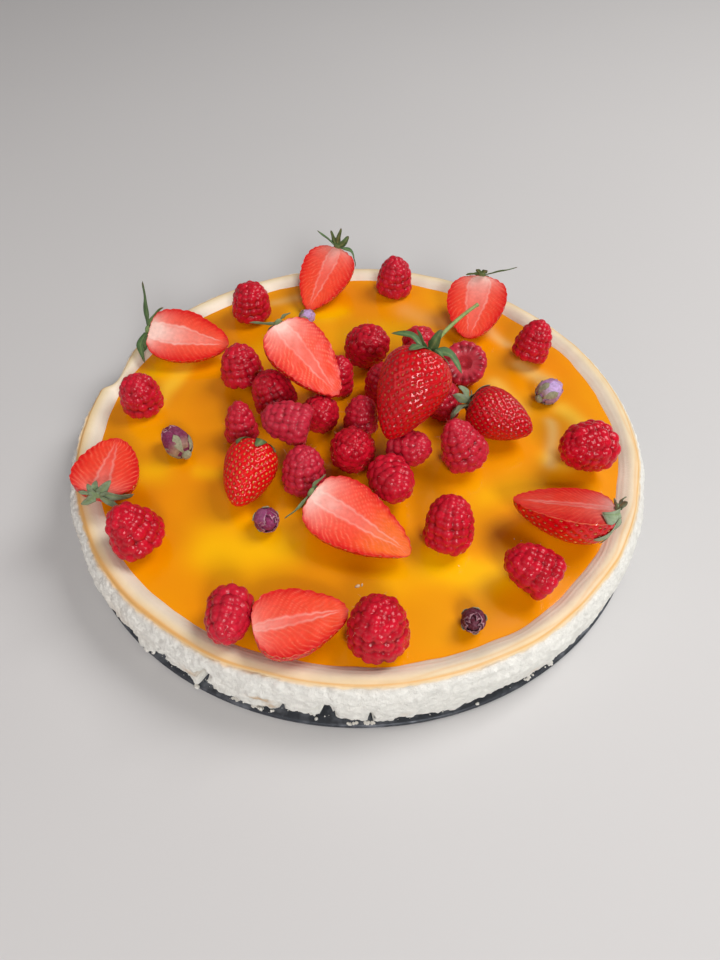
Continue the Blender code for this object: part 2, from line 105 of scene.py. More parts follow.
# Each raspberry: x, y, lift off the glaze, length, width, lean from upright, heading of its tip,
# and how much thinner its tip is than a dome.
RASPBERRIES = [
    (-54.1, 79.3, 0.0, 19.6, 19.4, 6, 90, 0.05),
    (-96.0, 12.6, 0.0, 19.4, 18.5, 4, 200, 0.05),
    (-83.8, -61.2, 0.0, 20.0, 22.8, 20, 165, 0.44),
    (-43.7, -96.8, 0.0, 19.9, 16.5, 80, 266, 0.0),
    (7.3, -100.0, 0.0, 22.2, 22.4, 8, 90, 0.12),
    (62.4, -76.6, 0.0, 21.0, 18.8, 68, 158, 0.15),
    (34.3, -57.5, 0.0, 22.6, 19.5, 14, 90, 0.10),
    (91.8, -19.4, 0.0, 22.6, 22.2, 68, 208, 0.15),
    (82.1, 50.0, 0.0, 20.0, 17.7, 20, 40, 0.12),
    (17.7, 101.9, 0.0, 20.7, 19.0, 3, 90, 0.12),
    (-53.7, 30.6, 0.0, 19.3, 20.0, 18, 120, 0.15),
    (-38.0, 13.4, 0.0, 19.0, 19.6, 26, 140, 0.12),
    (-50.0, -4.6, 0.0, 18.8, 15.5, 14, 95, 0.35),
    (-29.1, -13.4, 8.5, 20.9, 18.1, 78, 172, 0.10),
    (-16.2, 0.2, 0.0, 18.8, 17.0, 40, 285, 0.10),
    (-21.6, -31.4, 0.0, 20.5, 18.2, 16, 95, 0.08),
    (-2.2, -20.9, 0.0, 20.0, 19.2, 30, 275, 0.05),
    (1.2, 1.6, 0.0, 17.5, 15.4, 10, 80, 0.10),
    (4.4, 43.2, 0.0, 21.0, 21.0, 40, 300, 0.10),
    (10.4, 22.0, 0.0, 18.5, 16.8, 8, 90, 0.10),
    (27.4, 47.0, 0.0, 18.5, 17.0, 46, 250, 0.10),
    (47.6, 32.8, 0.0, 20.0, 20.0, 136, 80, 0.0),
    (36.4, 12.6, 0.0, 18.5, 16.6, 10, 200, 0.10),
    (41.4, -17.6, 0.0, 22.6, 21.0, 26, 160, 0.42),
    (13.4, -37.8, 0.0, 22.5, 17.8, 64, 286, 0.05),
    (21.4, -19.0, 0.0, 18.0, 16.6, 60, 330, 0.10),
    (-23.6, 44.4, 0.0, 19.0, 17.6, 10, 60, 0.10),
    (-10.2, 26.4, 0.0, 19.0, 16.8, 8, 30, 0.10),
]
# Each raspberry's drupelet spacing, and how dull and pink its skin is, from 0 to 1.
RIPENESS = [
    (4.0, 0.15), (3.8, 0.25), (4.3, 0.1), (3.9, 0.35), (4.2, 0.1), (4.2, 0.1), (3.8, 0.15), (4.5, 0.05),
    (4.1, 0.15), (3.9, 0.3), (3.9, 0.2), (3.5, 0.2), (3.7, 0.4), (3.6, 0.75), (3.7, 0.2), (3.6, 0.65),
    (3.6, 0.1), (3.6, 0.4), (4.0, 0.15), (3.9, 0.3), (3.9, 0.3), (3.7, 0.7), (3.8, 0.4), (4.0, 0.55),
    (4.6, 0.25), (3.6, 0.5), (3.9, 0.2), (3.9, 0.2),
]
# The hollow's width at a raspberry's open end, as a share of the lip's.
HOLLOW_SHARE = 0.5
# Swellings of single raspberries: the angle round the axis, the height from -1 to 1, push, size.
LOBES = {
    8: [(120, -0.3, 1.0, 5.5)],
    24: [(250, -0.55, 1.0, 5.0)],
    25: [(60, -0.5, 0.9, 5.0)],
}
# Each strawberry half: x, y, lift, length, width, depth, heading of the tip, pitch, roll, and how
# its tip thins.
STRAWBERRY_HALVES = [
    (-19.3, 97.2, 0.0, 38.0, 28.0, 13.0, 246, 24, -8, 0.36),
    (-80.0, 48.6, 0.0, 38.0, 27.0, 12.0, 352, 6, 26, 0.14),
    (-97.8, -33.5, 2.2, 28.0, 26.5, 11.5, 86, -2, 8, 0.14),
    (-18.6, -98.4, 0.0, 33.5, 27.0, 12.5, 16, 4, 0, 0.24),
    (1.0, -58.0, 0.0, 44.0, 29.0, 13.0, 328, 8, 12, 0.38),
    (-21.8, 16.6, 15.0, 41.5, 28.5, 12.5, 312, 20, 4, 0.36),
    (56.2, 73.4, 0.0, 35.0, 30.0, 13.0, 256, 24, 4, 0.14),
    (77.4, -50.4, 0.0, 38.0, 29.5, 15.5, 172, 2, 23, 0.30),
]
# Each cut face: the core's half width, how pale the core, the streaks and the calyx end are,
# how orange its tip is, and how deep its red.
CUT_LOOKS = [
    (0.26, 0.40, 0.9, 0.5, 0.1, 0.25),
    (0.42, 1.10, 0.5, 1.3, 0.0, 0.30),
    (0.22, 0.30, 1.1, 0.4, 0.0, 0.40),
    (0.16, 0.45, 0.9, 0.4, 0.1, 0.20),
    (0.24, 0.50, 1.2, 1.2, 0.8, 0.10),
    (0.30, 0.45, 1.6, 1.3, 0.0, 0.05),
    (0.44, 0.60, 0.9, 0.7, 0.0, 0.25),
    (0.12, 0.35, 0.9, 0.7, 0.0, 0.75),
]
# Each whole strawberry: x, y, lift, length, width, heading of the tip, pitch, and how its tip thins.
WHOLE_STRAWBERRIES = [
    (-43.9, -34.2, 0.0, 29.0, 22.0, 258, 8, 0.28),
    (19.4, -7.6, 15.0, 39.0, 30.0, 240, 34, 0.42),
    (60.3, -0.9, 0.0, 29.0, 22.4, 331, 6, 0.26),
]
# Each whole strawberry's darkness and how yellow its seeds are, from 0 to 1.
WHOLE_LOOKS = [(0.05, 0.6), (0.5, 0.0), (0.7, 0.0)]
# Each calyx: its berry, then its leaves, each with an angle round the berry's axis
# (0 at its left, 90 at its top), a length, a width, a bend towards the tip and a twist along its run.
CALYXES = {
    "strawberry_half_1": [
        (175, 12, 4.5, -12, -40), (130, 8, 4, -24, 0), (88, 12, 3, -16, 0), (45, 8, 4.5, -30, 0),
        (-8, 14, 4.5, 40, 50), (250, 8, 4, 0, 0),
    ],
    "strawberry_half_2": [
        (35, 20, 5, -4, 45), (2, 12, 4, 26, 0), (195, 15, 5.5, 14, -60), (232, 16, 5.5, 6, -60),
        (280, 8, 4, 0, 0), (320, 9, 4, 0, 0),
    ],
    "strawberry_half_3": [
        (10, 6, 4, 0, 0), (50, 5, 4.5, 12, 0), (88, 6, 4.5, 20, 0), (128, 9, 5, 15, 0),
        (165, 13, 5.5, 5, 0), (205, 10, 5, -15, 0), (318, 7, 4.5, -20, 0),
    ],
    "strawberry_half_5": [
        (20, 8, 3.5, 10, 0), (192, 13, 3, -10, 0), (240, 8, 3, -10, 0), (310, 8, 3.5, 0, 0),
    ],
    "strawberry_half_6": [
        (12, 6, 3, 0, 0), (185, 11, 2.8, -32, 0), (230, 8, 3.5, 0, 0), (310, 8, 3.5, 0, 0),
    ],
    "strawberry_half_7": [
        (2, 16, 3.5, -20, 30), (60, 5, 3.5, 10, 0), (120, 5, 3.5, 10, 0), (175, 7, 3, 10, 0),
        (230, 8, 4, 0, 0), (310, 8, 4, 0, 0),
    ],
    "strawberry_half_8": [
        (12, 11, 4.5, 55, 20), (335, 15, 5, 50, 20), (298, 11, 4.5, 40, 20), (55, 6, 4, -20, 0),
        (100, 5, 3, -30, 0), (180, 6, 3, 0, 0), (240, 7, 4, 0, 0),
    ],
    "strawberry_whole_1": [
        (70, 11, 5, 50, 0), (125, 11, 4.5, 50, 0), (20, 9, 4.5, 40, 0), (180, 9, 4, 30, 0),
        (235, 7, 4, 0, 0), (310, 7, 4, 0, 0),
    ],
    "strawberry_whole_2": [
        (172, 16, 5, 5, -60), (138, 9, 4, -30, 0), (105, 8, 4, 50, 0), (62, 12, 5.5, -35, 0),
        (20, 9, 4, 30, 30), (345, 16, 6, 20, 60), (290, 7, 4, 0, 0), (235, 8, 4, 0, -30),
    ],
    "strawberry_whole_3": [
        (0, 7, 4, -20, 0), (50, 8, 4.5, 50, 0), (92, 9, 5, -45, 0), (135, 9, 5, -30, -30),
        (175, 10, 5, 0, -60), (218, 9, 4.5, -10, -60), (290, 7, 4, 0, 0),
    ],
}
# How grey each calyx is, from fresh green at 0 to grey-green at 1.
CALYX_GREY = {
    "strawberry_half_3": 0.7, "strawberry_half_8": 0.9, "strawberry_whole_3": 0.8, "strawberry_half_5": 0.4,
    "strawberry_half_6": 0.5,
}
HUB_RADIUS = 1.6
LEAF_THICKNESS = 0.4
LEAF_CLEARANCE = 0.45
# How far a leaf keeps over the cake's top.
LEAF_LIFT = 0.35
STEM_BERRY = "strawberry_whole_2"
STEM_DIRECTION = (0.70, 0.66, 0.28)
STEM_LENGTH = 29.0
STEM_RADIUS = 0.9
STEM_BOW = 5.0
STEM_GRID = (24, 14)
# Each rosebud: x, y, lift, length, width, heading of the tip, pitch.
ROSEBUDS = [
    (-76.5, -12.1, 0.0, 16.0, 11.0, 130, -14),
    (-34.8, -52.8, 0.0, 11.5, 9.4, 295, -28),
    (40.4, -95.0, 0.0, 10.5, 8.2, 260, -44),
    (86.0, 21.6, 0.0, 13.5, 10.5, 35, -12),
    (-26.2, 75.4, 0.0, 8.5, 6.8, 20, -10),
]
# Each rosebud's petal tint: 0 maroon, 0.5 purple, 1 pale lilac.
BUD_TINTS = [0.30, 0.42, 0.0, 0.85, 0.9]

# Soft streaks in the glaze: start, middle and end points, width, and the shares of bright yellow,
# pale cream that is partly painted reflection, and deeper orange that is painted shade.
SWIRLS = [
    ((-80, 48), (-86, 34), (-91, 14), 4.0, (1.0, 0.10, 0.0)),
    ((-76, 47), (-81, 32), (-85, 20), 3.0, (0.0, 0.0, 0.9)),
    ((-98, 34), (-92, 40), (-86, 44), 6.0, (0.8, 0.0, 0.0)),
    ((-96, -22), (-90, -26), (-84, -24), 6.5, (0.8, 0.0, 0.0)),
    ((-55, -62), (-42, -66), (-30, -62), 11.0, (0.9, 0.0, 0.0)),
    ((-66, -24), (-56, -26), (-48, -24), 3.0, (0.5, 0.0, 0.0)),
    ((-72, 8), (-66, -6), (-62, -20), 16.0, (0.0, 0.0, 0.5)),
    ((-86, -44), (-70, -56), (-60, -76), 9.0, (0.0, 0.0, 0.6)),
    ((34, -70), (46, -76), (58, -70), 8.0, (1.0, 0.0, 0.0)),
    ((52, -86), (60, -76), (62, -66), 3.5, (0.0, 0.0, 0.5)),
    ((14, -74), (24, -70), (34, -72), 9.0, (0.6, 0.0, 0.0)),
    ((56, -92), (74, -80), (86, -62), 8.0, (0.0, 0.0, 0.4)),
    ((84, 6), (82, -6), (80, -18), 2.6, (0.3, 0.55, 0.0)),
    ((80, -16), (84, -19), (88, -17), 4.5, (1.0, 0.1, 0.0)),
    ((76, 44), (83, 38), (88, 34), 3.4, (0.6, 0.55, 0.0)),
    ((92, 14), (97, 8), (98, 2), 4.5, (1.0, 0.15, 0.0)),
    ((62, 74), (67, 66), (72, 60), 2.8, (0.0, 0.5, 0.2)),
    ((62, 30), (68, 22), (72, 14), 4.0, (0.7, 0.25, 0.0)),
    ((24, 86), (34, 80), (46, 76), 6.0, (0.0, 0.22, 0.8)),
    ((-30, 84), (-20, 76), (-10, 84), 5.0, (0.7, 0.0, 0.0)),
    ((-44, 92), (-36, 94), (-28, 96), 3.0, (0.0, 0.35, 0.0)),
    ((52, -36), (64, -32), (74, -30), 7.0, (0.6, 0.0, 0.0)),
    ((-10, -76), (0, -80), (12, -84), 10.0, (0.0, 0.0, 0.25)),
    ((-40, 60), (-46, 50), (-60, 48), 9.0, (0.4, 0.0, 0.0)),
    ((96, 40), (102, 20), (104, 0), 5.0, (0.0, 0.0, 0.5)),
    ((-4, 66), (6, 70), (20, 66), 9.0, (0.6, 0.0, 0.0)),
]

# Where the foot draws back from the tin's edge or reaches over it: angle, half width, shift.
FOOT_SHIFTS = [
    (230.4, 2.2, 2.6), (242.0, 1.0, 2.8), (252.0, 3.0, -1.2),
    (226.0, 1.6, -2.6), (222.4, 1.4, -2.2), (218.0, 2.4, 0.8), (284.0, 4.0, 1.0), (256.0, 2.0, 1.2),
    (299.0, 4.0, -0.8), (312.0, 2.0, 1.2), (274.0, 2.6, 1.0), (180.0, 5.0, 1.4), (40.0, 5.0, 1.0),
    (75.0, 3.0, -2.0), (118.0, 4.0, 1.4), (140.0, 3.0, -1.6), (340.0, 4.0, 1.4), (12.0, 3.0, -1.5),
]
# Bites out of the foot that bare the tin: angle, half width, depth.
BITES = [(244.3, 2.2, 5.5), (265.4, 2.2, 4.6), (235.4, 1.0, 3.5), (258.0, 0.8, 2.5), (272.6, 0.9, 2.5)]
# Stains on the wall: angle, height, half width along the wall, half height, strength.
WALL_STAINS = [
    (254.6, 15.0, 3.2, 1.1, 1.6), (256.2, 9.5, 2.2, 3.2, 0.8), (241.6, 11.5, 3.4, 3.2, 0.75),
    (206.0, 12.0, 10.0, 6.0, 0.35), (225.0, 14.0, 12.0, 6.0, 0.25), (301.0, 11.0, 2.4, 1.6, 0.4),
    (318.0, 14.0, 1.6, 2.2, 0.4), (278.0, 10.0, 2.0, 1.6, 0.25), (60.0, 12.0, 8.0, 5.0, 0.3),
    (120.0, 12.0, 9.0, 5.0, 0.3),
]
# Loose crumbs and chunks by the foot: angle, radius, size.
CHUNKS = [
    (230.2, 122.6, 2.6), (231.6, 121.6, 1.9), (242.1, 123.0, 2.0), (306.2, 121.8, 1.8), (253.8, 121.4, 1.4),
    (255.8, 121.0, 1.2), (247.2, 120.4, 1.4), (262.4, 119.2, 1.5), (268.6, 118.6, 1.3), (221.0, 121.6, 1.2),
    (291.0, 121.8, 1.1), (20.0, 121.6, 1.6), (97.0, 121.8, 1.5), (150.0, 121.4, 1.8), (186.0, 121.8, 1.3),
]
# Thin smears on the tin's edge: angle, radius, half length, half width.
SMEARS = [
    (253.4, 120.6, 3.2, 1.0), (270.4, 121.4, 3.8, 0.8), (272.8, 121.2, 1.6, 0.8), (249.0, 120.8, 1.8, 0.7),
    (301.0, 121.5, 3.0, 0.7), (35.0, 121.3, 3.0, 0.8), (110.0, 121.4, 2.4, 0.7),
]

# Rows and columns of the surfaces. A half's columns are those of its skin and those of its cut face.
BODY_GRID = (84, 1100)
GLAZE_GRID = (112, 420)
GLAZE_EDGE_ROWS = 16
RASPBERRY_GRID = (60, 112)
HOLLOW_ROWS = 13
WHOLE_GRID = (96, 168)
HALF_GRID = (96, 88, 52)
LEAF_GRID = (16, 9)
PETAL_GRID = (14, 13)

# Places round the cake, in degrees: the roughest wall, the strongest ripples in the rim, and the
# middles of the golden stretches at the left and the right.
ROUGHEST = 215.0
MOST_RIPPLED = 295.0
GOLDEN_LEFT = 212.0
GOLDEN_RIGHT = 325.0
# How fast the bound of a bite draws out with height.
BITE_SLOPE = 0.45
# The wall's relief, and the ways in from the golden line between which its torn crumb ends.
WALL_RELIEF = 1.25
TORN_END = (-1.9, -0.9)
# Radii between which the glaze takes its edge colour, and between which the top rises to the rim.
GLAZE_EDGE_BAND = (104.0, 110.5)
RIM_RISE = (108.5, 113.5)

# A raspberry's outline: its points, the turn that they cover, and the share of its cone that it keeps.
OUTLINE_POINTS = 240
OUTLINE_TURN = (0.02, 2.66)
CONE_KEPT = 0.8
# Drupelets as shares of their spacing: the smallest, their growth, and the steps to the next row.
SMALLEST_DRUPELET = 0.82
DRUPELET_GROWTH = 0.22
FIRST_STEP = 0.80
ROW_STEP = 0.88
# Heights over the berry's core, as shares of the spacing, between which the painted shade of a crease fades.
CREASE_SHADE_END = (0.26, 0.52)
# A raspberry's threads: how many drupelets bear one, their lengths, and their radius at root and end.
THREAD_SHARE = 0.62
THREAD_LENGTHS = (0.5, 1.5)
THREAD_RADII = (0.045, 0.02)
# A strawberry seed's half length, half width and half height, the turn between two seeds, and the
# polar angles between which they lie.
SEED_HALVES = (0.60, 0.34, 0.30)
SEED_TURN = math.pi * (3 - math.sqrt(5))
SEED_BELT = (0.35, 3.0)
# Pits and unevenness of whole and of cut strawberries: pit depth, unevenness, and how deep seeds sit.
# The spacing of a whole one's seeds is a length and a share of its width.
WHOLE_SKIN = (0.75, 0.35, 0.58)
HALF_SKIN = (0.7, 0.3, 0.48)
WHOLE_SEED_SPACING = (1.7, 0.035)
HALF_SEED_SPACING = 3.2
HALF_SEED_YELLOW = 0.35
# The cut face: how its core narrows, how far its white end reaches, and its veins' spacing and lean.
CORE_POWER = 0.55
WHITE_REACH = 0.12
VEIN_SPACING = 2.4
VEIN_LEAN = 0.85
# The angle past which the rim of a cut face shades sharp.
SHARP_ANGLE = 55.0
# How grey a calyx is where CALYX_GREY doesn't say.
USUAL_GREY = 0.15
# A direction that no thread or stalk runs along.
ACROSS = np.array([0.31, 0.52, 0.79])
# Thickness of petals and sepals on each side of their middle.
PETAL_HALF = 0.11
PETALS = 9
PETAL_TURN = 2.4
SEPALS = 5
# Crumbs on the tin: how many lie all round and how many near the front left, and that place.
CRUMBS_ROUND = 150
CRUMBS_FRONT = 80
CRUMBS_PLACE = 246
# The radius where loose crumbs start and how far out they lie, and their least size and its spread.
CRUMB_RING = (119.0, 2.8)
CRUMB_SIZES = (0.12, 0.62)
CHUNK_PARTS = 4
SMEAR_PARTS = 6
# Flecks on the glaze: x, y, height over it, size.
FLECKS = [
    (0.2, -78.8, 0.1, 0.8), (1.8, -78.3, 0.1, 0.5), (60.4, -56.8, 0.0, 0.3), (63.0, -57.6, 0.0, 0.25),
    (38.0, -69.4, 0.0, 0.28),
]
# Where each kind's random draws start. The piece's number is added.
WHOLE_DRAW = 40
HALF_DRAW = 60
CALYX_DRAW = 100
BUD_DRAW = 200
CRUMB_DRAW = 300
FLECK_DRAW = 301

# Soft square lamps: name, place and size in metres, power in watts, colour.
LAMPS = [
    ("window", (0.75, 0.35, 1.05), 0.65, 11.5, (1.0, 0.985, 0.98)),
    ("fill", (-0.9, -0.6, 0.9), 1.0, 3.5, (1.0, 0.87, 0.85)),
    ("front", (0.30, -1.1, 0.80), 0.4, 10.0, (1.0, 1.0, 1.0)),
]
BACKDROP_COLOUR = (0.95, 0.93, 0.95, 1)
BACKDROP_STRENGTH = 0.17
FLOOR_HALF = 4

# Colours: linear shares of red, green and blue, and full cover.
CUSTARD = (0.83, 0.75, 0.60, 1)
CUSTARD_WARM = (0.84, 0.66, 0.37, 1)
CUSTARD_STREAK = (0.84, 0.54, 0.38, 1)
CRUMB_WHITE = (0.90, 0.885, 0.82, 1)
CRUMB_STAIN = (0.62, 0.40, 0.20, 1)
BAKED_GOLD = (0.78, 0.42, 0.13, 1)
MANGO = (0.83, 0.270, 0.0, 1)
MANGO_LIGHT = (0.86, 0.332, 0.0, 1)
# Deeper orange painted shade in the glaze.
MANGO_DEEP_SHADE = (0.82, 0.262, 0.0, 1)
MANGO_YELLOW = (0.96, 0.50, 0.0, 1)
# Pale cream for the glaze's streaks, partly painted reflection.
MANGO_CREAM_AND_REFLECTION = (0.88, 0.62, 0.24, 1)
MANGO_EDGE = (0.86, 0.305, 0.0, 1)
RASPBERRY_DARK = (0.46, 0.002, 0.011, 1)
RASPBERRY_BRIGHT = (0.64, 0.004, 0.022, 1)
RASPBERRY_DULL = (0.52, 0.026, 0.056, 1)
# Painted shade in the creases between drupelets.
RASPBERRY_CREASE_SHADE = (0.22, 0.001, 0.005, 1)
RASPBERRY_HOLLOW = (0.60, 0.06, 0.08, 1)
THREAD_RED = (0.60, 0.12, 0.09, 1)
THREAD_STRAW = (0.80, 0.46, 0.34, 1)
SKIN_RED = (0.74, 0.003, 0.004, 1)
SKIN_DARK = (0.50, 0.000, 0.010, 1)
# Painted shade in the pits round the seeds.
SKIN_PIT_SHADE = (0.34, 0.002, 0.004, 1)
SKIN_SHOULDER = (0.80, 0.22, 0.10, 1)
FLESH_CORAL = (0.90, 0.050, 0.018, 1)
FLESH_EDGE = (0.66, 0.007, 0.006, 1)
FLESH_ORANGE = (0.88, 0.17, 0.012, 1)
FLESH_VEIN = (0.94, 0.22, 0.12, 1)
FLESH_PALE = (0.93, 0.60, 0.52, 1)
SEED_BROWN = (0.36, 0.04, 0.02, 1)
SEED_YELLOW = (0.74, 0.36, 0.05, 1)
LEAF_GREEN = (0.045, 0.130, 0.025, 1)
LEAF_GREY = (0.30, 0.37, 0.24, 1)
LEAF_RIB = (0.22, 0.30, 0.11, 1)
LEAF_DRY = (0.16, 0.08, 0.05, 1)
STALK_GREEN = (0.30, 0.38, 0.13, 1)
PETAL_MAROON = (0.09, 0.006, 0.018, 1)
PETAL_PURPLE = (0.26, 0.020, 0.10, 1)
PETAL_LILAC = (0.50, 0.34, 0.62, 1)
PETAL_STREAK = (0.60, 0.42, 0.55, 1)
PETAL_BASE = (0.36, 0.27, 0.16, 1)
PETAL_EDGE = (0.60, 0.36, 0.40, 1)
SEPAL_GREEN = (0.30, 0.29, 0.18, 1)
TIN_DARK = (0.040, 0.045, 0.055, 1)
TIN_WIPED = (0.135, 0.145, 0.165, 1)
TABLE_PALE = (0.60, 0.59, 0.58, 1)


def smoothstep(low, high, value):
    """0 up to low, 1 from high on, and an eased rise between."""
    share = np.clip((value - low) / (high - low), 0.0, 1.0)
    return share * share * (3.0 - 2.0 * share)


def around(count):
    """Angles of evenly spaced places round one full turn."""
    return np.linspace(0.0, 2 * np.pi, count, endpoint=False)


def latitudes(rows):
    """Polar angles of evenly spaced rows between two poles, as a column."""
    return np.linspace(0.0, math.pi, rows + 2)[1:-1, None]


def wrapped(degrees):
    """Angles in degrees brought to between -180 and 180."""
    return (degrees + 180.0) % 360.0 - 180.0


def tones(like, *values):
    """Four values for each point: each a number or an array over the points, and 0 where none is given."""
    made = np.zeros(like.shape[:-1] + (4,))
    for index, value in enumerate(values):
        made[..., index] = value
    return made


def bell(value, width):
    """1 at 0, falling smoothly to near 0 at twice the width."""
    return np.exp(-((value / width) ** 2))


def turn_matrix(heading, pitch=0.0, roll=0.0):
    """The rotation by roll about X, then by pitch about Y, then by heading about Z."""
    about_z = Matrix.Rotation(math.radians(heading), 3, "Z")
    about_y = Matrix.Rotation(math.radians(pitch), 3, "Y")
    about_x = Matrix.Rotation(math.radians(roll), 3, "X")
    return np.array(about_z @ about_y @ about_x)


def scrambled(cells, seed):
    """A random number from 0 to 1 for each whole-number cell, the same on every run."""
    mixed = cells[..., 0] * 73856093 ^ cells[..., 1] * 19349663 ^ cells[..., 2] * 83492791
    mixed = mixed ^ (seed * 2654435761)
    mixed = (mixed ^ (mixed >> 13)) * 1274126177
    mixed = mixed ^ (mixed >> 16)
    return (mixed & 0xFFFFF) / 0xFFFFF


def noise(points, size, seed=0):
    """Smooth noise from -1 to 1: random values at the corners of cubes of this size, eased between."""
    cell = points / size
    low = np.floor(cell).astype(np.int64)
    share = cell - low
    share = share * share * (3.0 - 2.0 * share)
    total = np.zeros(points.shape[:-1])
    for corner in np.ndindex(2, 2, 2):
        side = np.array(corner)
        weight = np.prod(np.where(side, share, 1.0 - share), axis=-1)
        total += weight * scrambled(low + side, seed)
    return 2.0 * total - 1.0


def lumps(points, size, seed=0):
    """Rounded lumps, 1 at their middles and 0 far off: 1 less the squared way to the nearest random point."""
    cell = points / size
    low = np.floor(cell).astype(np.int64)
    nearest = np.full(points.shape[:-1], 9.0)
    for step in np.ndindex(3, 3, 3):
        near = low + np.array(step) - 1
        heart = near + np.stack([scrambled(near, seed * 3 + axis + 1) for axis in range(3)], axis=-1)
        nearest = np.minimum(nearest, ((cell - heart) ** 2).sum(axis=-1))
    return 1.0 - np.minimum(nearest, 1.0)


def unit(vectors):
    """Vectors divided by their lengths, so that each has length 1."""
    return vectors / np.maximum(np.linalg.norm(vectors, axis=-1, keepdims=True), 1e-9)


def sway(angle):
    """Uneven hand-made roundness, from -1 to 1: three sines of the angle round the cake."""
    wave = 0.45 * np.sin(5 * angle + 0.7) + 0.35 * np.sin(13 * angle + 2.1)
    return wave + 0.2 * np.sin(29 * angle)


def dented(radius, angle, height):
    """Radii drawn in by DENT_DEPTH times a raised cosine over the dent.

    High on the wall the front side falls in a step after a small swell, and the step fades below.
    """
    degrees = np.degrees(angle) % 360.0
    away = np.abs(degrees - DENT_ANGLE) / DENT_HALF_WIDTH
    share = np.where(away < 1.0, 0.5 + 0.5 * np.cos(np.pi * np.minimum(away, 1.0)), 0.0)
    past = degrees - DENT_STEP
    stepped = share * (1.0 - smoothstep(0.0, 1.4, past))
    stepped = stepped + 0.45 * bell(past + 1.6, 3.0) * smoothstep(0.7, -0.7, past)
    share = share + (stepped - share) * smoothstep(6.0, 21.0, height)
    beyond = np.maximum(radius - POOL_RADIUS, 0.0) / (RIM_RADIUS - POOL_RADIUS)
    return radius - DENT_DEPTH * share * beyond


def smooth_line(points, count, reach):
    """Evenly spaced points on a polyline, each averaged with its neighbours, and their way along it."""
    points = np.array(points, float)
    steps = np.linalg.norm(np.diff(points[:, :2], axis=0), axis=1)
    along = np.concatenate([[0.0], np.cumsum(steps)])
    even = np.linspace(0.0, along[-1], count)
    line = np.stack([np.interp(even, along, column) for column in points.T], axis=-1)
    weights = np.hanning(2 * reach + 3)[1:-1]
    padded = np.pad(line, ((reach, reach), (0, 0)), mode="reflect", reflect_type="odd")
    line = np.stack([np.convolve(column, weights / weights.sum(), "valid") for column in padded.T], axis=-1)
    return line, even


def round_faces(rows, columns):
    """Corner numbers of the quads between rings, and of the fans to a first and a last point."""
    row, column = np.meshgrid(np.arange(rows - 1), np.arange(columns), indexing="ij")
    after = (column + 1) % columns
    low, high = row * columns, (row + 1) * columns
    quads = np.stack([low + column, low + after, high + after, high + column], axis=-1).reshape(-1, 4)
    around = np.arange(columns)
    after = (around + 1) % columns
    first = np.full(columns, rows * columns)
    start = np.stack([first, after, around], axis=-1)
    end = np.stack([first + 1, (rows - 1) * columns + around, (rows - 1) * columns + after], axis=-1)
    return quads, np.concatenate([start, end])


def volume(points, quads, fans):
    """Six times the volume inside closed faces, negative if they face inwards."""
    corners = np.concatenate([quads[:, :3], quads[:, [0, 2, 3]], fans])
    a, b, c = points[corners[:, 0]], points[corners[:, 1]], points[corners[:, 2]]
    return np.einsum("ij,ij->", a, np.cross(b, c))


class Form:
    """The points, faces and point values of a mesh while it is put together, in millimetres."""

    def __init__(self):
        self.points, self.tones, self.corners, self.sides, self.slots = [], [], [], [], []
        self.count = 0

    def add_round(self, rings, first, last, tone=None, slot=0):
        """Closed surfaces, one or many alike: rings of points with a first and a last point.

        rings is (rows, columns, 3) or (copies, rows, columns, 3), tone has 4 values for each ring
        point, and slot is one material slot or one for each column.
        """
        rings, first, last = (np.asarray(part, float) for part in (rings, first, last))
        if rings.ndim == 3:
            rings, first, last = rings[None], first[None], last[None]
            tone = None if tone is None else tone[None]
        copies, rows, columns = rings.shape[:3]
        points = np.concatenate([rings.reshape(copies, -1, 3), first[:, None], last[:, None]], axis=1)
        if tone is None:
            tone = np.zeros((copies, rows, columns, 4))
        ends = (tone[:, 0].mean(axis=1)[:, None], tone[:, -1].mean(axis=1)[:, None])
        tones = np.concatenate([tone.reshape(copies, -1, 4), *ends], axis=1)
        quads, fans = round_faces(rows, columns)
        if volume(points[0] - points[0].mean(axis=0), quads, fans) < 0:
            quads, fans = quads[:, ::-1], fans[:, ::-1]
        shift = self.count + np.arange(copies)[:, None, None] * points.shape[1]
        column_slots = np.broadcast_to(slot, columns)
        for faces, times in ((quads, rows - 1), (fans, 2)):
            self.corners.append((faces + shift).ravel())
            self.sides.append(np.full(copies * len(faces), faces.shape[1]))
            self.slots.append(np.tile(column_slots, times * copies))
        self.points.append(points.reshape(-1, 3))
        self.tones.append(tones.reshape(-1, 4))
        self.count += copies * points.shape[1]

    def add_closed(self, rings, tone, slot=0):
        """A closed surface whose end points are the middles of its first and last rings."""
        self.add_round(rings, rings[0].mean(axis=0), rings[-1].mean(axis=0), tone, slot)

    def make(self, name, materials, finish, *nodes):
        """The mesh object, riding on the cake and standing for the named nodes."""
        mesh = bpy.data.meshes.new(name)
        sides = np.concatenate(self.sides)
        corners = np.concatenate(self.corners)
        mesh.vertices.add(self.count)
        mesh.vertices.foreach_set("co", (np.concatenate(self.points) * MM).ravel())
        mesh.loops.add(len(corners))
        mesh.loops.foreach_set("vertex_index", corners)
        mesh.polygons.add(len(sides))
        mesh.polygons.foreach_set("loop_start", np.concatenate([[0], np.cumsum(sides)[:-1]]))
        mesh.polygons.foreach_set("material_index", np.concatenate(self.slots))
        tone = mesh.attributes.new("tone", "FLOAT_COLOR", "POINT")
        tone.data.foreach_set("color", np.concatenate(self.tones).ravel())
        mesh.update(calc_edges=True)
        mesh.shade_smooth()
        for material in materials:
            mesh.materials.append(material)
        piece = bpy.data.objects.new(name, mesh)
        bpy.context.scene.collection.objects.link(piece)
        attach(piece, "root")
        if nodes:
            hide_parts(*nodes)
        return piece


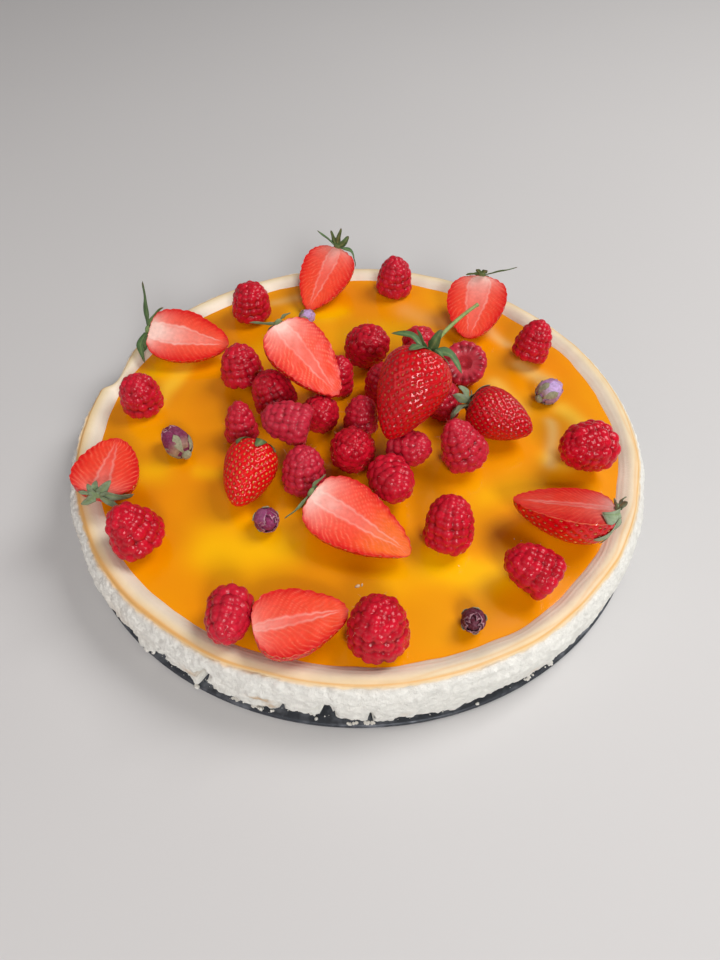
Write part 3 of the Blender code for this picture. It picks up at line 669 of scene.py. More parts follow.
class Nodes:
    """Short calls for the nodes of one tree."""

    def __init__(self, tree):
        self.tree = tree

    def add(self, kind, inputs=(), **settings):
        """A node with its settings, and its inputs set to values or linked to sockets."""
        made = self.tree.nodes.new(kind)
        for key, value in settings.items():
            setattr(made, key, value)
        for key, value in dict(inputs).items():
            if isinstance(value, bpy.types.NodeSocket):
                self.tree.links.new(value, made.inputs[key])
            else:
                made.inputs[key].default_value = value
        return made

    def mix(self, share, first, second, blend="MIX"):
        """Two colours mixed by a share."""
        colours = {6: first, 7: second, 0: share}
        return self.add("ShaderNodeMix", colours, data_type="RGBA", blend_type=blend).outputs[2]

    def math(self, operation, first, second=0.0):
        """One calculation on two values."""
        return self.add("ShaderNodeMath", {0: first, 1: second}, operation=operation).outputs[0]

    def between(self, value, low, high, start=0.0, end=1.0):
        """A value brought from low and high to start and end, and held there."""
        inputs = {"Value": value, "From Min": low, "From Max": high, "To Min": start, "To Max": end}
        return self.add("ShaderNodeMapRange", inputs).outputs["Result"]

    def layered(self, colour, *layers):
        """A colour covered by others in turn, each by its own share."""
        for share, over in layers:
            colour = self.mix(share, colour, over)
        return colour

    def noise(self, size, detail=2.0):
        """Noise in the object's own coordinates with features of this size in millimetres."""
        place = self.add("ShaderNodeTexCoord").outputs["Object"]
        inputs = {"Vector": place, "Scale": 1.0 / (size * MM), "Detail": detail}
        return self.add("ShaderNodeTexNoise", inputs).outputs["Fac"]

    def tone(self):
        """The four values that the mesh carries at each point."""
        kept = self.add("ShaderNodeAttribute", attribute_name="tone")
        parts = self.add("ShaderNodeSeparateColor", {"Color": kept.outputs["Color"]})
        return [*parts.outputs, kept.outputs["Alpha"]]


def new_group(name, takes, gives):
    """An empty shader node group with its sockets: names with their socket kinds."""
    tree = bpy.data.node_groups.new(name, "ShaderNodeTree")
    for direction, sockets in (("INPUT", takes), ("OUTPUT", gives)):
        for label, kind in sockets.items():
            tree.interface.new_socket(name=label, in_out=direction, socket_type=kind)
    nodes = Nodes(tree)
    return tree, nodes, nodes.add("NodeGroupInput").outputs, nodes.add("NodeGroupOutput").inputs


def make_mottle():
    """Group: a colour made darker and lighter in soft patches of a given scale."""
    takes = {"Colour": "NodeSocketColor", "Scale": "NodeSocketFloat", "Amount": "NodeSocketFloat"}
    tree, nodes, given, out = new_group("mottle", takes, {"Colour": "NodeSocketColor"})
    place = nodes.add("ShaderNodeTexCoord").outputs["Object"]
    patches = nodes.add("ShaderNodeTexNoise", {"Vector": place, "Scale": given["Scale"], "Detail": 3.0})
    swing = nodes.math("SUBTRACT", nodes.between(patches.outputs["Fac"], 0.3, 0.7, 0.0, 2.0), 1.0)
    gain = nodes.math("ADD", 1.0, nodes.math("MULTIPLY", swing, given["Amount"]))
    tree.links.new(nodes.mix(1.0, given["Colour"], gain, "MULTIPLY"), out["Colour"])
    return tree


def make_grain():
    """Group: the height of a fine uneven surface, coarse and fine noise together."""
    takes = {"Scale": "NodeSocketFloat", "Fine share": "NodeSocketFloat"}
    tree, nodes, given, out = new_group("grain", takes, {"Height": "NodeSocketFloat"})
    place = nodes.add("ShaderNodeTexCoord").outputs["Object"]
    coarse = nodes.add("ShaderNodeTexNoise", {"Vector": place, "Scale": given["Scale"], "Detail": 2.0})
    finer = nodes.math("MULTIPLY", given["Scale"], 3.7)
    fine = nodes.add("ShaderNodeTexNoise", {"Vector": place, "Scale": finer, "Detail": 2.0})
    extra = nodes.math("MULTIPLY", fine.outputs["Fac"], given["Fine share"])
    tree.links.new(nodes.math("ADD", coarse.outputs["Fac"], extra), out["Height"])
    return tree


MOTTLE = make_mottle()
GRAIN = make_grain()


class Finish(Nodes):
    """A material with its Principled BSDF and the shared groups at hand."""

    def __init__(self, name, **sockets):
        self.material = bpy.data.materials.new(name)
        self.material.use_nodes = True
        super().__init__(self.material.node_tree)
        self.shader = self.tree.nodes["Principled BSDF"]
        for label, value in sockets.items():
            self.shader.inputs[label.replace("_", " ")].default_value = value

    def feed(self, label, socket):
        """Link a socket to one of the shader's inputs."""
        self.tree.links.new(socket, self.shader.inputs[label])

    def mottled(self, colour, size, amount):
        """A colour through the shared mottle group, with patches of this size in millimetres."""
        inputs = {"Colour": colour, "Scale": 1.0 / (size * MM), "Amount": amount}
        return self.group(MOTTLE, inputs)

    def group(self, tree, inputs):
        """One of the shared groups, with its inputs set."""
        made = self.tree.nodes.new("ShaderNodeGroup")
        made.node_tree = tree
        for key, value in inputs.items():
            if isinstance(value, bpy.types.NodeSocket):
                self.tree.links.new(value, made.inputs[key])
            else:
                made.inputs[key].default_value = value
        return made.outputs[0]

    def relief(self, size, fine, depth, strength=1.0):
        """Bump from the shared grain group: size in millimetres, fine share, depth in millimetres."""
        height = self.group(GRAIN, {"Scale": 1.0 / (size * MM), "Fine share": fine})
        inputs = {"Height": height, "Distance": depth * MM, "Strength": strength}
        self.feed("Normal", self.add("ShaderNodeBump", inputs).outputs["Normal"])


def cheesecake_finish():
    """Smooth baked custard on the rim, torn white crumb on the wall, a golden line between."""
    finish = Finish("baked_cheesecake", Roughness=0.55, Specular_IOR_Level=0.35)
    torn, gold, streak, warm = finish.tone()
    cream = finish.layered(CUSTARD, (warm, CUSTARD_WARM), (streak, CUSTARD_STREAK))
    cream = finish.mottled(cream, 9.0, 0.05)
    crumb = finish.mottled(CRUMB_WHITE, 2.6, 0.08)
    crumb = finish.mix(finish.math("MULTIPLY", streak, 0.8), crumb, CRUMB_STAIN)
    finish.feed("Base Color", finish.layered(cream, (torn, crumb), (gold, BAKED_GOLD)))
    finish.feed("Roughness", finish.between(torn, 0.0, 1.0, 0.42, 0.85))
    height = finish.group(GRAIN, {"Scale": 1.0 / (1.1 * MM), "Fine share": 0.6})
    height = finish.math("MULTIPLY", height, finish.between(torn, 0.0, 1.0, 0.12, 1.0))
    inputs = {"Height": height, "Distance": 0.8 * MM, "Strength": 0.9}
    finish.feed("Normal", finish.add("ShaderNodeBump", inputs).outputs["Normal"])
    return finish.material


def glaze_finish():
    """Glossy mango gel: orange in soft patches, with yellow streaks, cream streaks that are partly painted
    reflection, and deeper streaks of painted shade.
    """
    finish = Finish(
        "mango_glaze_gel", Roughness=0.2, Specular_IOR_Level=0.3, Coat_Weight=0.12, Coat_Roughness=0.05,
    )
    # The second tone is pale cream, partly painted reflection; the third is painted shade in a deeper orange.
    yellow, pale, deep_shade, edge = finish.tone()
    patches = finish.between(finish.noise(34.0, 2.0), 0.35, 0.65)
    colour = finish.layered(
        MANGO, (patches, MANGO_LIGHT), (deep_shade, MANGO_DEEP_SHADE), (yellow, MANGO_YELLOW), (pale, MANGO_CREAM_AND_REFLECTION),
        (edge, MANGO_EDGE),
    )
    finish.feed("Base Color", colour)
    finish.relief(14.0, 0.1, 0.25, 0.25)
    return finish.material


def raspberry_finish():
    """Deep red drupelets, darker in their creases by painted shade, some duller and pinker."""
    finish = Finish(
        "raspberry_skin", Specular_IOR_Level=0.24, Coat_Weight=0.1, Coat_Roughness=0.08,
        Subsurface_Weight=0.10, Subsurface_Radius=(1.0, 0.15, 0.12), Subsurface_Scale=0.0015,
    )
    # The first tone is painted shade in the creases between drupelets.
    crease, chance, dull, hollow = finish.tone()
    colour = finish.layered(
        RASPBERRY_DARK, (chance, RASPBERRY_BRIGHT), (dull, RASPBERRY_DULL), (crease, RASPBERRY_CREASE_SHADE),
        (hollow, RASPBERRY_HOLLOW),
    )
    finish.feed("Base Color", finish.mottled(colour, 0.9, 0.10))
    finish.feed("Roughness", finish.between(dull, 0.0, 1.0, 0.22, 0.40))
    finish.relief(0.35, 0.3, 0.05, 0.6)
    return finish.material


def hair_finish():
    """The fine dry threads on raspberries, pale straw to red."""
    finish = Finish("raspberry_hair", Roughness=0.6)
    shade = finish.tone()[0]
    finish.feed("Base Color", finish.mix(shade, THREAD_RED, THREAD_STRAW))
    return finish.material


def strawberry_skin_finish():
    """Glossy red skin, darker in the pits by painted shade, pale at the shoulder under the leaves."""
    finish = Finish(
        "strawberry_skin", Roughness=0.32, Specular_IOR_Level=0.15, Coat_Weight=0.55, Coat_Roughness=0.04,
    )
    # The first tone is painted shade in the pits.
    pit, shoulder, dark, _ = finish.tone()
    pit = finish.math("MULTIPLY", pit, 0.5)
    colour = finish.layered(SKIN_RED, (dark, SKIN_DARK), (pit, SKIN_PIT_SHADE), (shoulder, SKIN_SHOULDER))
    finish.feed("Base Color", finish.mottled(colour, 3.0, 0.12))
    finish.relief(0.6, 0.3, 0.04, 0.5)
    return finish.material


def strawberry_flesh_finish():
    """Wet coral flesh, pale along the core and its veins, deep red at the edge."""
    finish = Finish(
        "strawberry_flesh", Roughness=0.35, Specular_IOR_Level=0.3, Coat_Weight=0.12, Coat_Roughness=0.15,
    )
    pale, edge, vein, orange = finish.tone()
    colour = finish.layered(
        FLESH_CORAL, (edge, FLESH_EDGE), (orange, FLESH_ORANGE), (vein, FLESH_VEIN), (pale, FLESH_PALE),
    )
    finish.feed("Base Color", finish.mottled(colour, 1.6, 0.07))
    finish.relief(0.7, 0.4, 0.08, 0.5)
    return finish.material


def seed_finish():
    """Strawberry seeds, from reddish brown to yellow."""
    finish = Finish("strawberry_seed", Roughness=0.4)
    yellow = finish.tone()[0]
    colour = finish.mix(yellow, SEED_BROWN, SEED_YELLOW)
    finish.feed("Base Color", finish.mottled(colour, 0.6, 0.15))
    return finish.material


def leaf_finish():
    """Downy green leaves, darker on the blade, pale on the midrib, some grey-green and dry at the edge."""
    finish = Finish("strawberry_leaf", Roughness=0.55, Specular_IOR_Level=0.3)
    rib, grey, dry, stalk = finish.tone()
    colour = finish.layered(
        LEAF_GREEN, (grey, LEAF_GREY), (rib, LEAF_RIB), (dry, LEAF_DRY), (stalk, STALK_GREEN),
    )
    finish.feed("Base Color", finish.mottled(colour, 2.2, 0.22))
    finish.relief(0.7, 0.6, 0.12, 0.7)
    return finish.material


def petal_finish():
    """Dry papery petals with pale edges, and beige-green sepals."""
    finish = Finish("rosebud_petal", Roughness=0.7, Specular_IOR_Level=0.3)
    edge, tint, base, sepal = finish.tone()
    purple = finish.mix(finish.between(tint, 0.0, 0.5), PETAL_MAROON, PETAL_PURPLE)
    purple = finish.mix(finish.between(tint, 0.5, 1.0), purple, PETAL_LILAC)
    streaks = finish.math("MULTIPLY", finish.between(finish.noise(0.9, 3.0), 0.4, 0.7), 0.12)
    colour = finish.layered(
        purple, (streaks, PETAL_STREAK), (base, PETAL_BASE), (edge, PETAL_EDGE), (sepal, SEPAL_GREEN),
    )
    finish.feed("Base Color", finish.mottled(colour, 1.2, 0.22))
    finish.relief(0.5, 0.6, 0.12, 0.8)
    return finish.material


def tin_finish():
    """The dark coated springform base, dulled and smeared here and there."""
    finish = Finish("coated_tin", Roughness=0.42, Metallic=0.35)
    wipe = finish.between(finish.noise(7.0, 4.0), 0.50, 0.68)
    colour = finish.mix(wipe, TIN_DARK, TIN_WIPED)
    finish.feed("Base Color", finish.mottled(colour, 1.4, 0.18))
    finish.feed("Roughness", finish.between(finish.noise(3.0, 3.0), 0.3, 0.7, 0.32, 0.6))
    finish.relief(0.8, 0.5, 0.06, 0.5)
    return finish.material


def floor_finish():
    """A plain pale tabletop."""
    finish = Finish("pale_table", Roughness=0.6)
    finish.feed("Base Color", finish.mottled(TABLE_PALE, 300.0, 0.01))
    return finish.material


def turned_points(radius, height, angle):
    """Points at these radii and heights, row by row, round the cake's axis."""
    return np.stack([radius * np.cos(angle), radius * np.sin(angle), height + 0.0 * radius], axis=-1)


def make_tin(material):
    """The disc under the cake: a flat turned plate whose edge is a half circle."""
    form = Form()
    arc = np.linspace(-np.pi / 2, np.pi / 2, 9)
    half = TIN_THICKNESS / 2
    edge_radius = TIN_RADIUS - half + half * np.cos(arc)
    edge_height = half + half * np.sin(arc)
    radius = np.concatenate([[40.0, 90.0], edge_radius, [119.0, 115.0, 100.0, 60.0, 20.0]])
    height = np.concatenate([[0.0, 0.0], edge_height, np.full(5, TIN_THICKNESS)])
    angle = around(360)
    rings = turned_points(radius[:, None] + 0.0 * angle, height[:, None], angle)
    form.add_round(rings, (0, 0, 0), (0, 0, TIN_THICKNESS))
    form.make("springform_base", [material], "tin_grey", "tin_base")


def body_surface():
    """The cake body's rings before any relief, with their way along the profile and outward normals."""
    rows, columns = BODY_GRID
    line, along = smooth_line(BODY_RINGS, rows, 2)
    angle = around(columns)
    radius = dented(line[:, 0, None] + line[:, 2, None] * sway(angle), angle, line[:, 1, None])
    slope = np.gradient(line[:, :2], axis=0)
    normal = unit(np.stack([slope[:, 1], -slope[:, 0]], axis=-1))
    top = np.argmax(line[:, 0])
    golden = along[top + np.argmin(np.abs(line[top:, 0] - RIM_RADIUS))]
    return line, along - golden, angle, radius, normal


def foot_relief(flat, degrees):
    """How far the foot stands out: two sizes of noise stretched upwards, and a bell for each shift."""
    foot = 0.9 * noise(flat * (1, 1, 0.3), 4.0, 6) + 0.6 * noise(flat * (1, 1, 0.5), 1.8, 7)
    for place, half_width, shift in FOOT_SHIFTS:
        foot = foot + shift * bell(wrapped(degrees - place), half_width)
    return foot


def rim_ripples(inward, flat, degrees):
    """How strong the rim's ripples are at each angle, and a sine of the way in, bent by noise."""
    strength = 0.35 + 0.65 * smoothstep(75.0, 25.0, np.abs(wrapped(degrees - MOST_RIPPLED)))
    ripple = np.sin(inward[:, None] * 3.4 + 3.0 * noise(flat, 14.0, 9))
    return strength, ripple * smoothstep(3.2, 5.6, inward)[:, None]


def body_relief(line, inward, line_way, torn, ripples, flat, angle):
    """How far each point stands out along its normal.

    The torn wall has rounded lumps of two sizes and noise of two sizes, and is roughest at one side.
    The rim has soft waves and ripples, with a dip and a thin ridge by the golden line.
    """
    strength, ripple = ripples
    rough = 0.68 + 0.32 * np.cos(angle - math.radians(ROUGHEST))
    crumb = 0.95 * (lumps(flat, 3.6, 1) - 0.75) + 0.5 * (lumps(flat, 1.7, 2) - 0.75)
    crumb += 0.7 * noise(flat, 9.0, 3) + 0.28 * noise(flat, 1.1, 4)
    low = smoothstep(9.0, 2.5, line[:, 1, None]) * (inward[:, None] < 0)
    relief = WALL_RELIEF * torn * rough * crumb + low * foot_relief(flat, np.degrees(angle))
    relief = relief + (1.0 - torn) * (0.14 * noise(flat, 6.0, 10) + 0.06 * strength * ripple)
    return relief - 0.25 * bell(line_way + 0.7, 0.5) + 0.12 * bell(line_way, 0.5)


def bitten(rings, inward, flat, degrees):
    """Rings cut back towards the axis inside each bite, to a bound that draws out with height."""
    up = rings[..., 2] - TIN_THICKNESS
    reached = np.hypot(rings[..., 0], rings[..., 1])
    for place, half_width, depth in BITES:
        apart = wrapped(degrees + 0.8 * noise(flat, 2.0, 13) - place)
        wide = half_width * (1.0 - 0.025 * np.clip(up, 0.0, 20.0))
        bound = RIM_RADIUS + 1.2 - depth + BITE_SLOPE * up + 0.5 * noise(flat, 2.5, 15)
        inside = smoothstep(1.0, 0.7, np.abs(apart) / wide) * (inward[:, None] < 0)
        cut = np.maximum(reached - bound, 0.0) * inside
        rings[..., :2] *= (1.0 - cut / reached)[..., None]
    return rings


def body_tones(line, inward, line_way, torn, ripples, flat, angle):
    """The shares of torn crumb, golden line, streaks and warm cream at each point.

    The golden line is a bell across the way in, broader at the left, with a second one at the right.
    Streaks follow the ripples on the rim, and each stain on the wall is a bell along and up it.
    """
    degrees = np.degrees(angle)
    strength, ripple = ripples
    left = smoothstep(50.0, 10.0, np.abs(degrees - GOLDEN_LEFT))
    right = smoothstep(70.0, 30.0, np.abs(wrapped(degrees - GOLDEN_RIGHT)))
    second = 1.5 + 0.5 * np.sin(angle * 9.0) + 0.4 * np.sin(angle * 23.0)
    gold = (0.85 + 0.15 * noise(flat, 5.0, 11)) * bell(line_way, 0.42 + 0.25 * left)
    gold += 0.45 * left * bell(line_way, 2.0) + 0.45 * right * bell(line_way - second, 0.5)
    gold += 0.22 * bell(line_way + 0.9, 1.1)
    streak = 0.14 + 0.12 * ripple + 0.2 * noise(flat, 4.0, 14)
    streak = strength * smoothstep(3.8, 6.6, inward)[:, None] * streak
    for place, height, half_width, half_height, share in WALL_STAINS:
        along = bell(wrapped(degrees - place) * math.radians(1.0) * RIM_RADIUS, half_width)
        streak = streak + torn * share * along * bell(line[:, 1, None] - height, half_height)
    warm = smoothstep(5.6, 0.4, inward)[:, None] * (0.8 + 0.2 * noise(flat, 12.0, 12))
    return np.clip(tones(flat, torn, gold, streak, warm), 0.0, 1.0)


def make_body(material):
    """The baked cake: the profile turned round the axis, moved by the relief and bitten at the foot."""
    line, inward, angle, radius, normal = body_surface()
    degrees = np.degrees(angle)
    flat = turned_points(radius, line[:, 1, None], angle)
    circle = turned_points(30.0 + 0.0 * angle, 0.0, angle)
    line_way = inward[:, None] + 0.35 * noise(circle, 4.0, 5)
    torn = 1.0 - smoothstep(*TORN_END, line_way + 0.5 * noise(flat, 2.2, 8))
    ripples = rim_ripples(inward, flat, degrees)
    relief = body_relief(line, inward, line_way, torn, ripples, flat, angle)
    out = turned_points(normal[:, 0, None] + 0.0 * angle, normal[:, 1, None], angle)
    rings = flat + relief[..., None] * out
    rings[..., 2] = np.maximum(rings[..., 2], TIN_THICKNESS + 0.02)
    rings = bitten(rings, inward, flat, degrees)
    tone = body_tones(line, inward, line_way, torn, ripples, flat, angle)
    form = Form()
    form.add_round(rings, (0, 0, line[0, 1]), (0, 0, line[-1, 1]), tone)
    form.make("cheesecake", [material], "cheesecake_cream", "cheesecake_body")


def streak_masks(points):
    """The shares of yellow, of pale colour that is partly painted reflection, and of deeper orange painted
    shade: each streak is a bell across a three-point curve.
    """
    shares = np.zeros(points.shape[:-1] + (3,))
    way = np.linspace(0.0, 1.0, 24)[:, None]
    wander = 2.5 * np.stack([noise(points, 16.0, 21), noise(points, 16.0, 22), 0.0 * points[..., 0]], axis=-1)
    flat = (points + wander)[..., :2]
    for start, middle, end, width, colour in SWIRLS:
        curve = (1 - way) ** 2 * np.array(start) + way ** 2 * np.array(end)
        curve = curve + 2 * way * (1 - way) * np.array(middle)
        nearest = np.full(points.shape[:-1], 1e9)
        for spot in curve:
            nearest = np.minimum(nearest, ((flat - spot) ** 2).sum(axis=-1))
        shares += bell(np.sqrt(nearest), width)[..., None] * np.array(colour)
    return np.clip(shares, 0.0, 1.0)


def make_glaze(material):
    """The glaze: a turned edge, and a nearly level top that creeps up at the rim and waves softly."""
    rows, columns = GLAZE_GRID
    edge, _ = smooth_line(GLAZE_RINGS, GLAZE_EDGE_ROWS, 1)
    inner = edge[-1, 0] * np.linspace(1.0, 0.0, rows - GLAZE_EDGE_ROWS + 1)[1:-1] ** 0.9
    radius = np.concatenate([edge[:, 0], inner])
    height = np.concatenate([edge[:, 1], GLAZE_TOP + 0.08 * bell(inner - edge[-1, 0], 2.4)])
    swing = np.concatenate([edge[:, 2], 0.8 * smoothstep(60.0, 105.0, inner)])
    angle = around(columns)
    rings = turned_points(radius[:, None] + swing[:, None] * sway(angle), height[:, None], angle)
    on_top = np.concatenate([np.zeros(GLAZE_EDGE_ROWS), np.ones(len(inner))])[:, None]
    rings[..., 2] += on_top * (0.10 * noise(rings, 28.0, 20) + 0.04 * noise(rings, 10.0, 23))
    tone = tones(rings)
    # Yellow streaks, pale streaks that are partly painted reflection, and deeper orange painted shade.
    tone[..., :3] = streak_masks(rings)
    tone[..., 3] = 0.7 * smoothstep(*GLAZE_EDGE_BAND, radius)[:, None]
    form = Form()
    form.add_round(rings, (0, 0, edge[0, 1]), (0, 0, GLAZE_TOP), tone)
    form.make("glaze", [material], "mango_orange", "mango_glaze")


def stand(points, turn, x, y, lift):
    """The place that sets turned points over (x, y): on the glaze and settled, or lifted above it."""
    lowest = (points @ turn.T)[..., 2].min()
    return np.array([x, y, GLAZE_TOP + (lift + GAP if lift else -SETTLE) - lowest])


def dome(down, cone):
    """A raspberry's radius share from its tip, at 0, to its open end, at 1.

    The root of 1 less a power of the way left makes the dome, the like rounds the lip in, and the
    cone thins the tip in a straight line.
    """
    shell = np.sqrt(1.0 - (1.0 - down) ** DOME_POWER)
    lip = np.sqrt(1.0 - np.clip((down - LIP_START) / (1.0 - LIP_START), 0.0, 1.0) ** 4)
    return shell * lip * (1.0 - cone * (1.0 - down))


def thimble(length, width, cone):
    """A raspberry's smooth outline from the tip to the lip: radius and height, and its normals."""
    level = np.cos(np.linspace(*OUTLINE_TURN, OUTLINE_POINTS))
    outline = np.stack([dome((1.0 - level) / 2, cone) * width / 2, level * length / 2], axis=-1)
    slope = np.gradient(outline, axis=0)
    return outline, unit(np.stack([-slope[:, 1], slope[:, 0]], axis=-1))


def drupelets(outline, side, along, spacing, chance):
    """Centres and radii of the drupelets: staggered rings a little under the outline, smaller at the tip."""
    centres, radii = [], []
    way, number = 0.0, 0
    while way < along[-1] - 0.1 * spacing:
        grown = spacing * (SMALLEST_DRUPELET + DRUPELET_GROWTH * min(way / (0.5 * along[-1]), 1.0))
        under = outline - side * grown * DRUPELET_DEPTH
        across, level = (np.interp(way, along, under[:, axis]) for axis in (0, 1))
        girth = 2 * math.pi * np.interp(way, along, outline[:, 0])
        count = max(1 if number == 0 else 5, round(girth / grown))
        turn = np.arange(count) + 0.5 * (number % 2) + chance.uniform(-0.15, 0.15, count)
        turn = 2 * math.pi * turn / count
        out = max(across, 0.0) + chance.uniform(-0.28, 0.22, count)
        up = level + chance.uniform(-0.12, 0.12, count) * grown
        centres.append(np.stack([out * np.cos(turn), out * np.sin(turn), up], axis=-1))
        radii.append(grown * DRUPELET_RADIUS * chance.uniform(0.94, 1.07, count))
        way += grown * (FIRST_STEP if number == 0 else ROW_STEP)
        number += 1
    return np.concatenate(centres), np.concatenate(radii)


def swollen(rings, out, lobes, length, width):
    """Rings pushed outwards by a bell round each lobe's place on the berry."""
    for place, level, push, size in lobes:
        turn = math.radians(place)
        spot = np.array([math.cos(turn) * width / 2, math.sin(turn) * width / 2, level * length / 2])
        rings = rings + out * (push * bell(np.linalg.norm(rings - spot, axis=-1), size))[..., None]
    return rings


def raspberry_rings(length, width, cone, spacing, lobes, chance):
    """A raspberry, tip at +Z: rows run from the tip down the outside and up into the hollow.

    Each outer point moves out along its normal to the farthest drupelet sphere that the normal
    meets, so neighbouring drupelets join in a sharp crease.
    """
    rows, columns = RASPBERRY_GRID
    outline, side = thimble(length, width, cone)
    along = np.concatenate([[0.0], np.cumsum(np.linalg.norm(np.diff(outline, axis=0), axis=1))])
    centres, radii = drupelets(outline, side, along, spacing, chance)
    inner = outline - side * spacing * DRUPELET_DEPTH
    inner[:, 0] = np.maximum(inner[:, 0], 0.02)
    even = np.linspace(along[1], along[-1], rows)
    line = np.stack([np.interp(even, along, inner[:, k]) for k in (0, 1)], axis=-1)
    normal = unit(np.stack([np.interp(even, along, side[:, k]) for k in (0, 1)], axis=-1))
    angle = around(columns)
    base = turned_points(line[:, 0, None] + 0.0 * angle, line[:, 1, None], angle)
    out = turned_points(normal[:, 0, None] + 0.0 * angle, normal[:, 1, None], angle)
    ahead = centres - base[..., None, :]
    reach = (ahead * out[..., None, :]).sum(axis=-1)
    off = (ahead ** 2).sum(axis=-1) - reach ** 2
    hit = np.where(off < radii ** 2, reach + np.sqrt(np.maximum(radii ** 2 - off, 0.0)), -9.0)
    nearest = hit.argmax(axis=-1)
    height = np.maximum(hit.max(axis=-1), 0.05 * spacing)
    rings = swollen(base + out * height[..., None], out, lobes, length, width)
    # Painted shade that darkens the creases between drupelets.
    crease = 1.0 - smoothstep(*CREASE_SHADE_END, height / spacing)
    shade = chance.uniform(0.0, 1.0, len(radii))[nearest]
    lip = rings[-1]
    shares = np.linspace(0.0, 1.0, HOLLOW_ROWS + 2)[1:-1, None, None]
    inside = lip * ((1.0 - shares) ** 0.7 * HOLLOW_SHARE + 0.02) * (1, 1, 0)
    inside = inside + (0, 0, 1) * (lip[:, 2].min() + 0.3 * length * shares ** 1.3)
    tone = np.concatenate([tones(rings, crease, shade), tones(inside, 0, 0, 0, 1)])
    hearts = centres + unit(centres * (1, 1, 0.6)) * (radii * 0.97)[:, None]
    return np.concatenate([rings, inside]), tone, hearts


def hair_paths(roots, chance, turn):
    """Short threads: each leaves its root outwards and sideways, and bends by the square of its share."""
    count = len(roots)
    way = unit(roots * (1, 1, 0.6)) + 0.9 * chance.normal(0.0, 1.0, (count, 3))
    bend = 0.8 * chance.normal(0.0, 1.0, (count, 3))
    length = chance.uniform(*THREAD_LENGTHS, count)[:, None, None]
    share = np.linspace(0.0, 1.0, 5)[None, :, None]
    path = roots[:, None] + length * (unit(way)[:, None] * share + bend[:, None] * share ** 2 * 0.5)
    return path @ turn.T


def add_tubes(form, paths, radii, sides, tone):
    """Round tubes along many paths: a ring of points about each path point, square to its run."""
    run = unit(np.gradient(paths, axis=1))
    first = unit(np.cross(run, ACROSS))
    second = np.cross(run, first)
    turn = around(sides)[:, None]
    ring = first[:, :, None] * np.cos(turn) + second[:, :, None] * np.sin(turn)
    rings = paths[:, :, None] + ring * np.broadcast_to(radii, paths.shape[:2])[:, :, None, None]
    form.add_round(rings, paths[:, 0], paths[:, -1], np.broadcast_to(tone, rings.shape[:3] + (4,)))


def make_raspberries(skin, hair):
    """Every raspberry in its place, and one piece with all their threads."""
    threads = Form()
    for number, (x, y, lift, length, width, lean, heading, cone) in enumerate(RASPBERRIES, 1):
        chance = np.random.default_rng(number)
        spacing, dull = RIPENESS[number - 1]
        lobes = LOBES.get(number, ())
        rings, tone, hearts = raspberry_rings(length, width, CONE_KEPT * cone, spacing, lobes, chance)
        tone[..., 2] = dull
        turn = turn_matrix(heading, lean)
        place = stand(rings, turn, x, y, lift)
        form = Form()
        form.add_closed(rings @ turn.T + place, tone)
        form.make(f"drupelets_{number:02d}", [skin], "raspberry_red", f"raspberry_{number:02d}")
        roots = hearts[chance.uniform(0.0, 1.0, len(hearts)) < THREAD_SHARE]
        paths = hair_paths(roots, chance, turn) + place
        paths[..., 2] = np.maximum(paths[..., 2], GLAZE_TOP + 0.2)
        shades = chance.uniform(0.0, 1.0, (len(roots), 4))
        add_tubes(threads, paths, np.linspace(*THREAD_RADII, 5), 3, shades[:, None, None])
    threads.make("raspberry_threads", [hair], "raspberry_red")


def berry_rows(polar, taper):
    """Of a strawberry, by the polar angle from the calyx to the tip: x and the radius, as shares.

    x is a power of a globe's way down, and the radius is the globe's, thinned by the way down cubed.
    """
    down = (1.0 - np.cos(polar)) / 2
    return down ** SHOULDER - 0.5, np.sin(polar) * (1.0 - taper * down ** 3)


def berry_points(polar, turn, length, width, depth, taper):
    """Points of a strawberry's skin at polar angles and turns round its axis, tip at +X.

    The rows give x and a radius share, and the ring at each is an ellipse by width and depth.
    """
    along, radius = berry_rows(polar, taper)
    return np.stack([
        along * length + 0.0 * turn, radius * np.cos(turn) * width / 2, radius * np.sin(turn) * depth,
    ], axis=-1)


def berry_normals(polar, turn, *sizes):
    """Outward normals of the skin, from points a little further along and round it."""
    here = berry_points(polar, turn, *sizes)
    on = berry_points(polar + 0.01, turn, *sizes) - here
    around = berry_points(polar, turn + 0.01, *sizes) - here
    return unit(np.cross(around, on)), unit(on)


def seed_places(length, width, depth, taper, spacing, chance):
    """Polar angles and turns of evenly spread seeds: a spiral that gives each the same area."""
    polar = np.linspace(0.0, math.pi, 400)
    line = berry_points(polar, 0.0, length, width, depth, taper)
    steps = np.linalg.norm(np.diff(line, axis=0), axis=1)
    middle = (line[1:, 1] + line[:-1, 1]) / 2
    area = np.concatenate([[0.0], np.cumsum(2 * math.pi * middle * steps)])
    count = int(area[-1] * (1 + depth / (width / 2)) / 2 / (0.87 * spacing ** 2))
    shares = (np.arange(count) + 0.5) / count
    seed_polar = np.interp(shares * area[-1], area, polar)
    turn = np.arange(count) * SEED_TURN + chance.uniform(0, 6)
    return seed_polar, turn + chance.normal(0.0, 0.02, count)


def pit_relief(points, seeds, spacing, depth):
    """How far the skin sinks: a bell of the way to the nearest seed, near level half way to the next."""
    nearest = np.full(points.shape[:-1], 1e9)
    for spot in seeds:
        nearest = np.minimum(nearest, ((points - spot) ** 2).sum(axis=-1))
    sink = bell(np.sqrt(nearest), 0.36 * spacing)
    return -depth * sink, sink


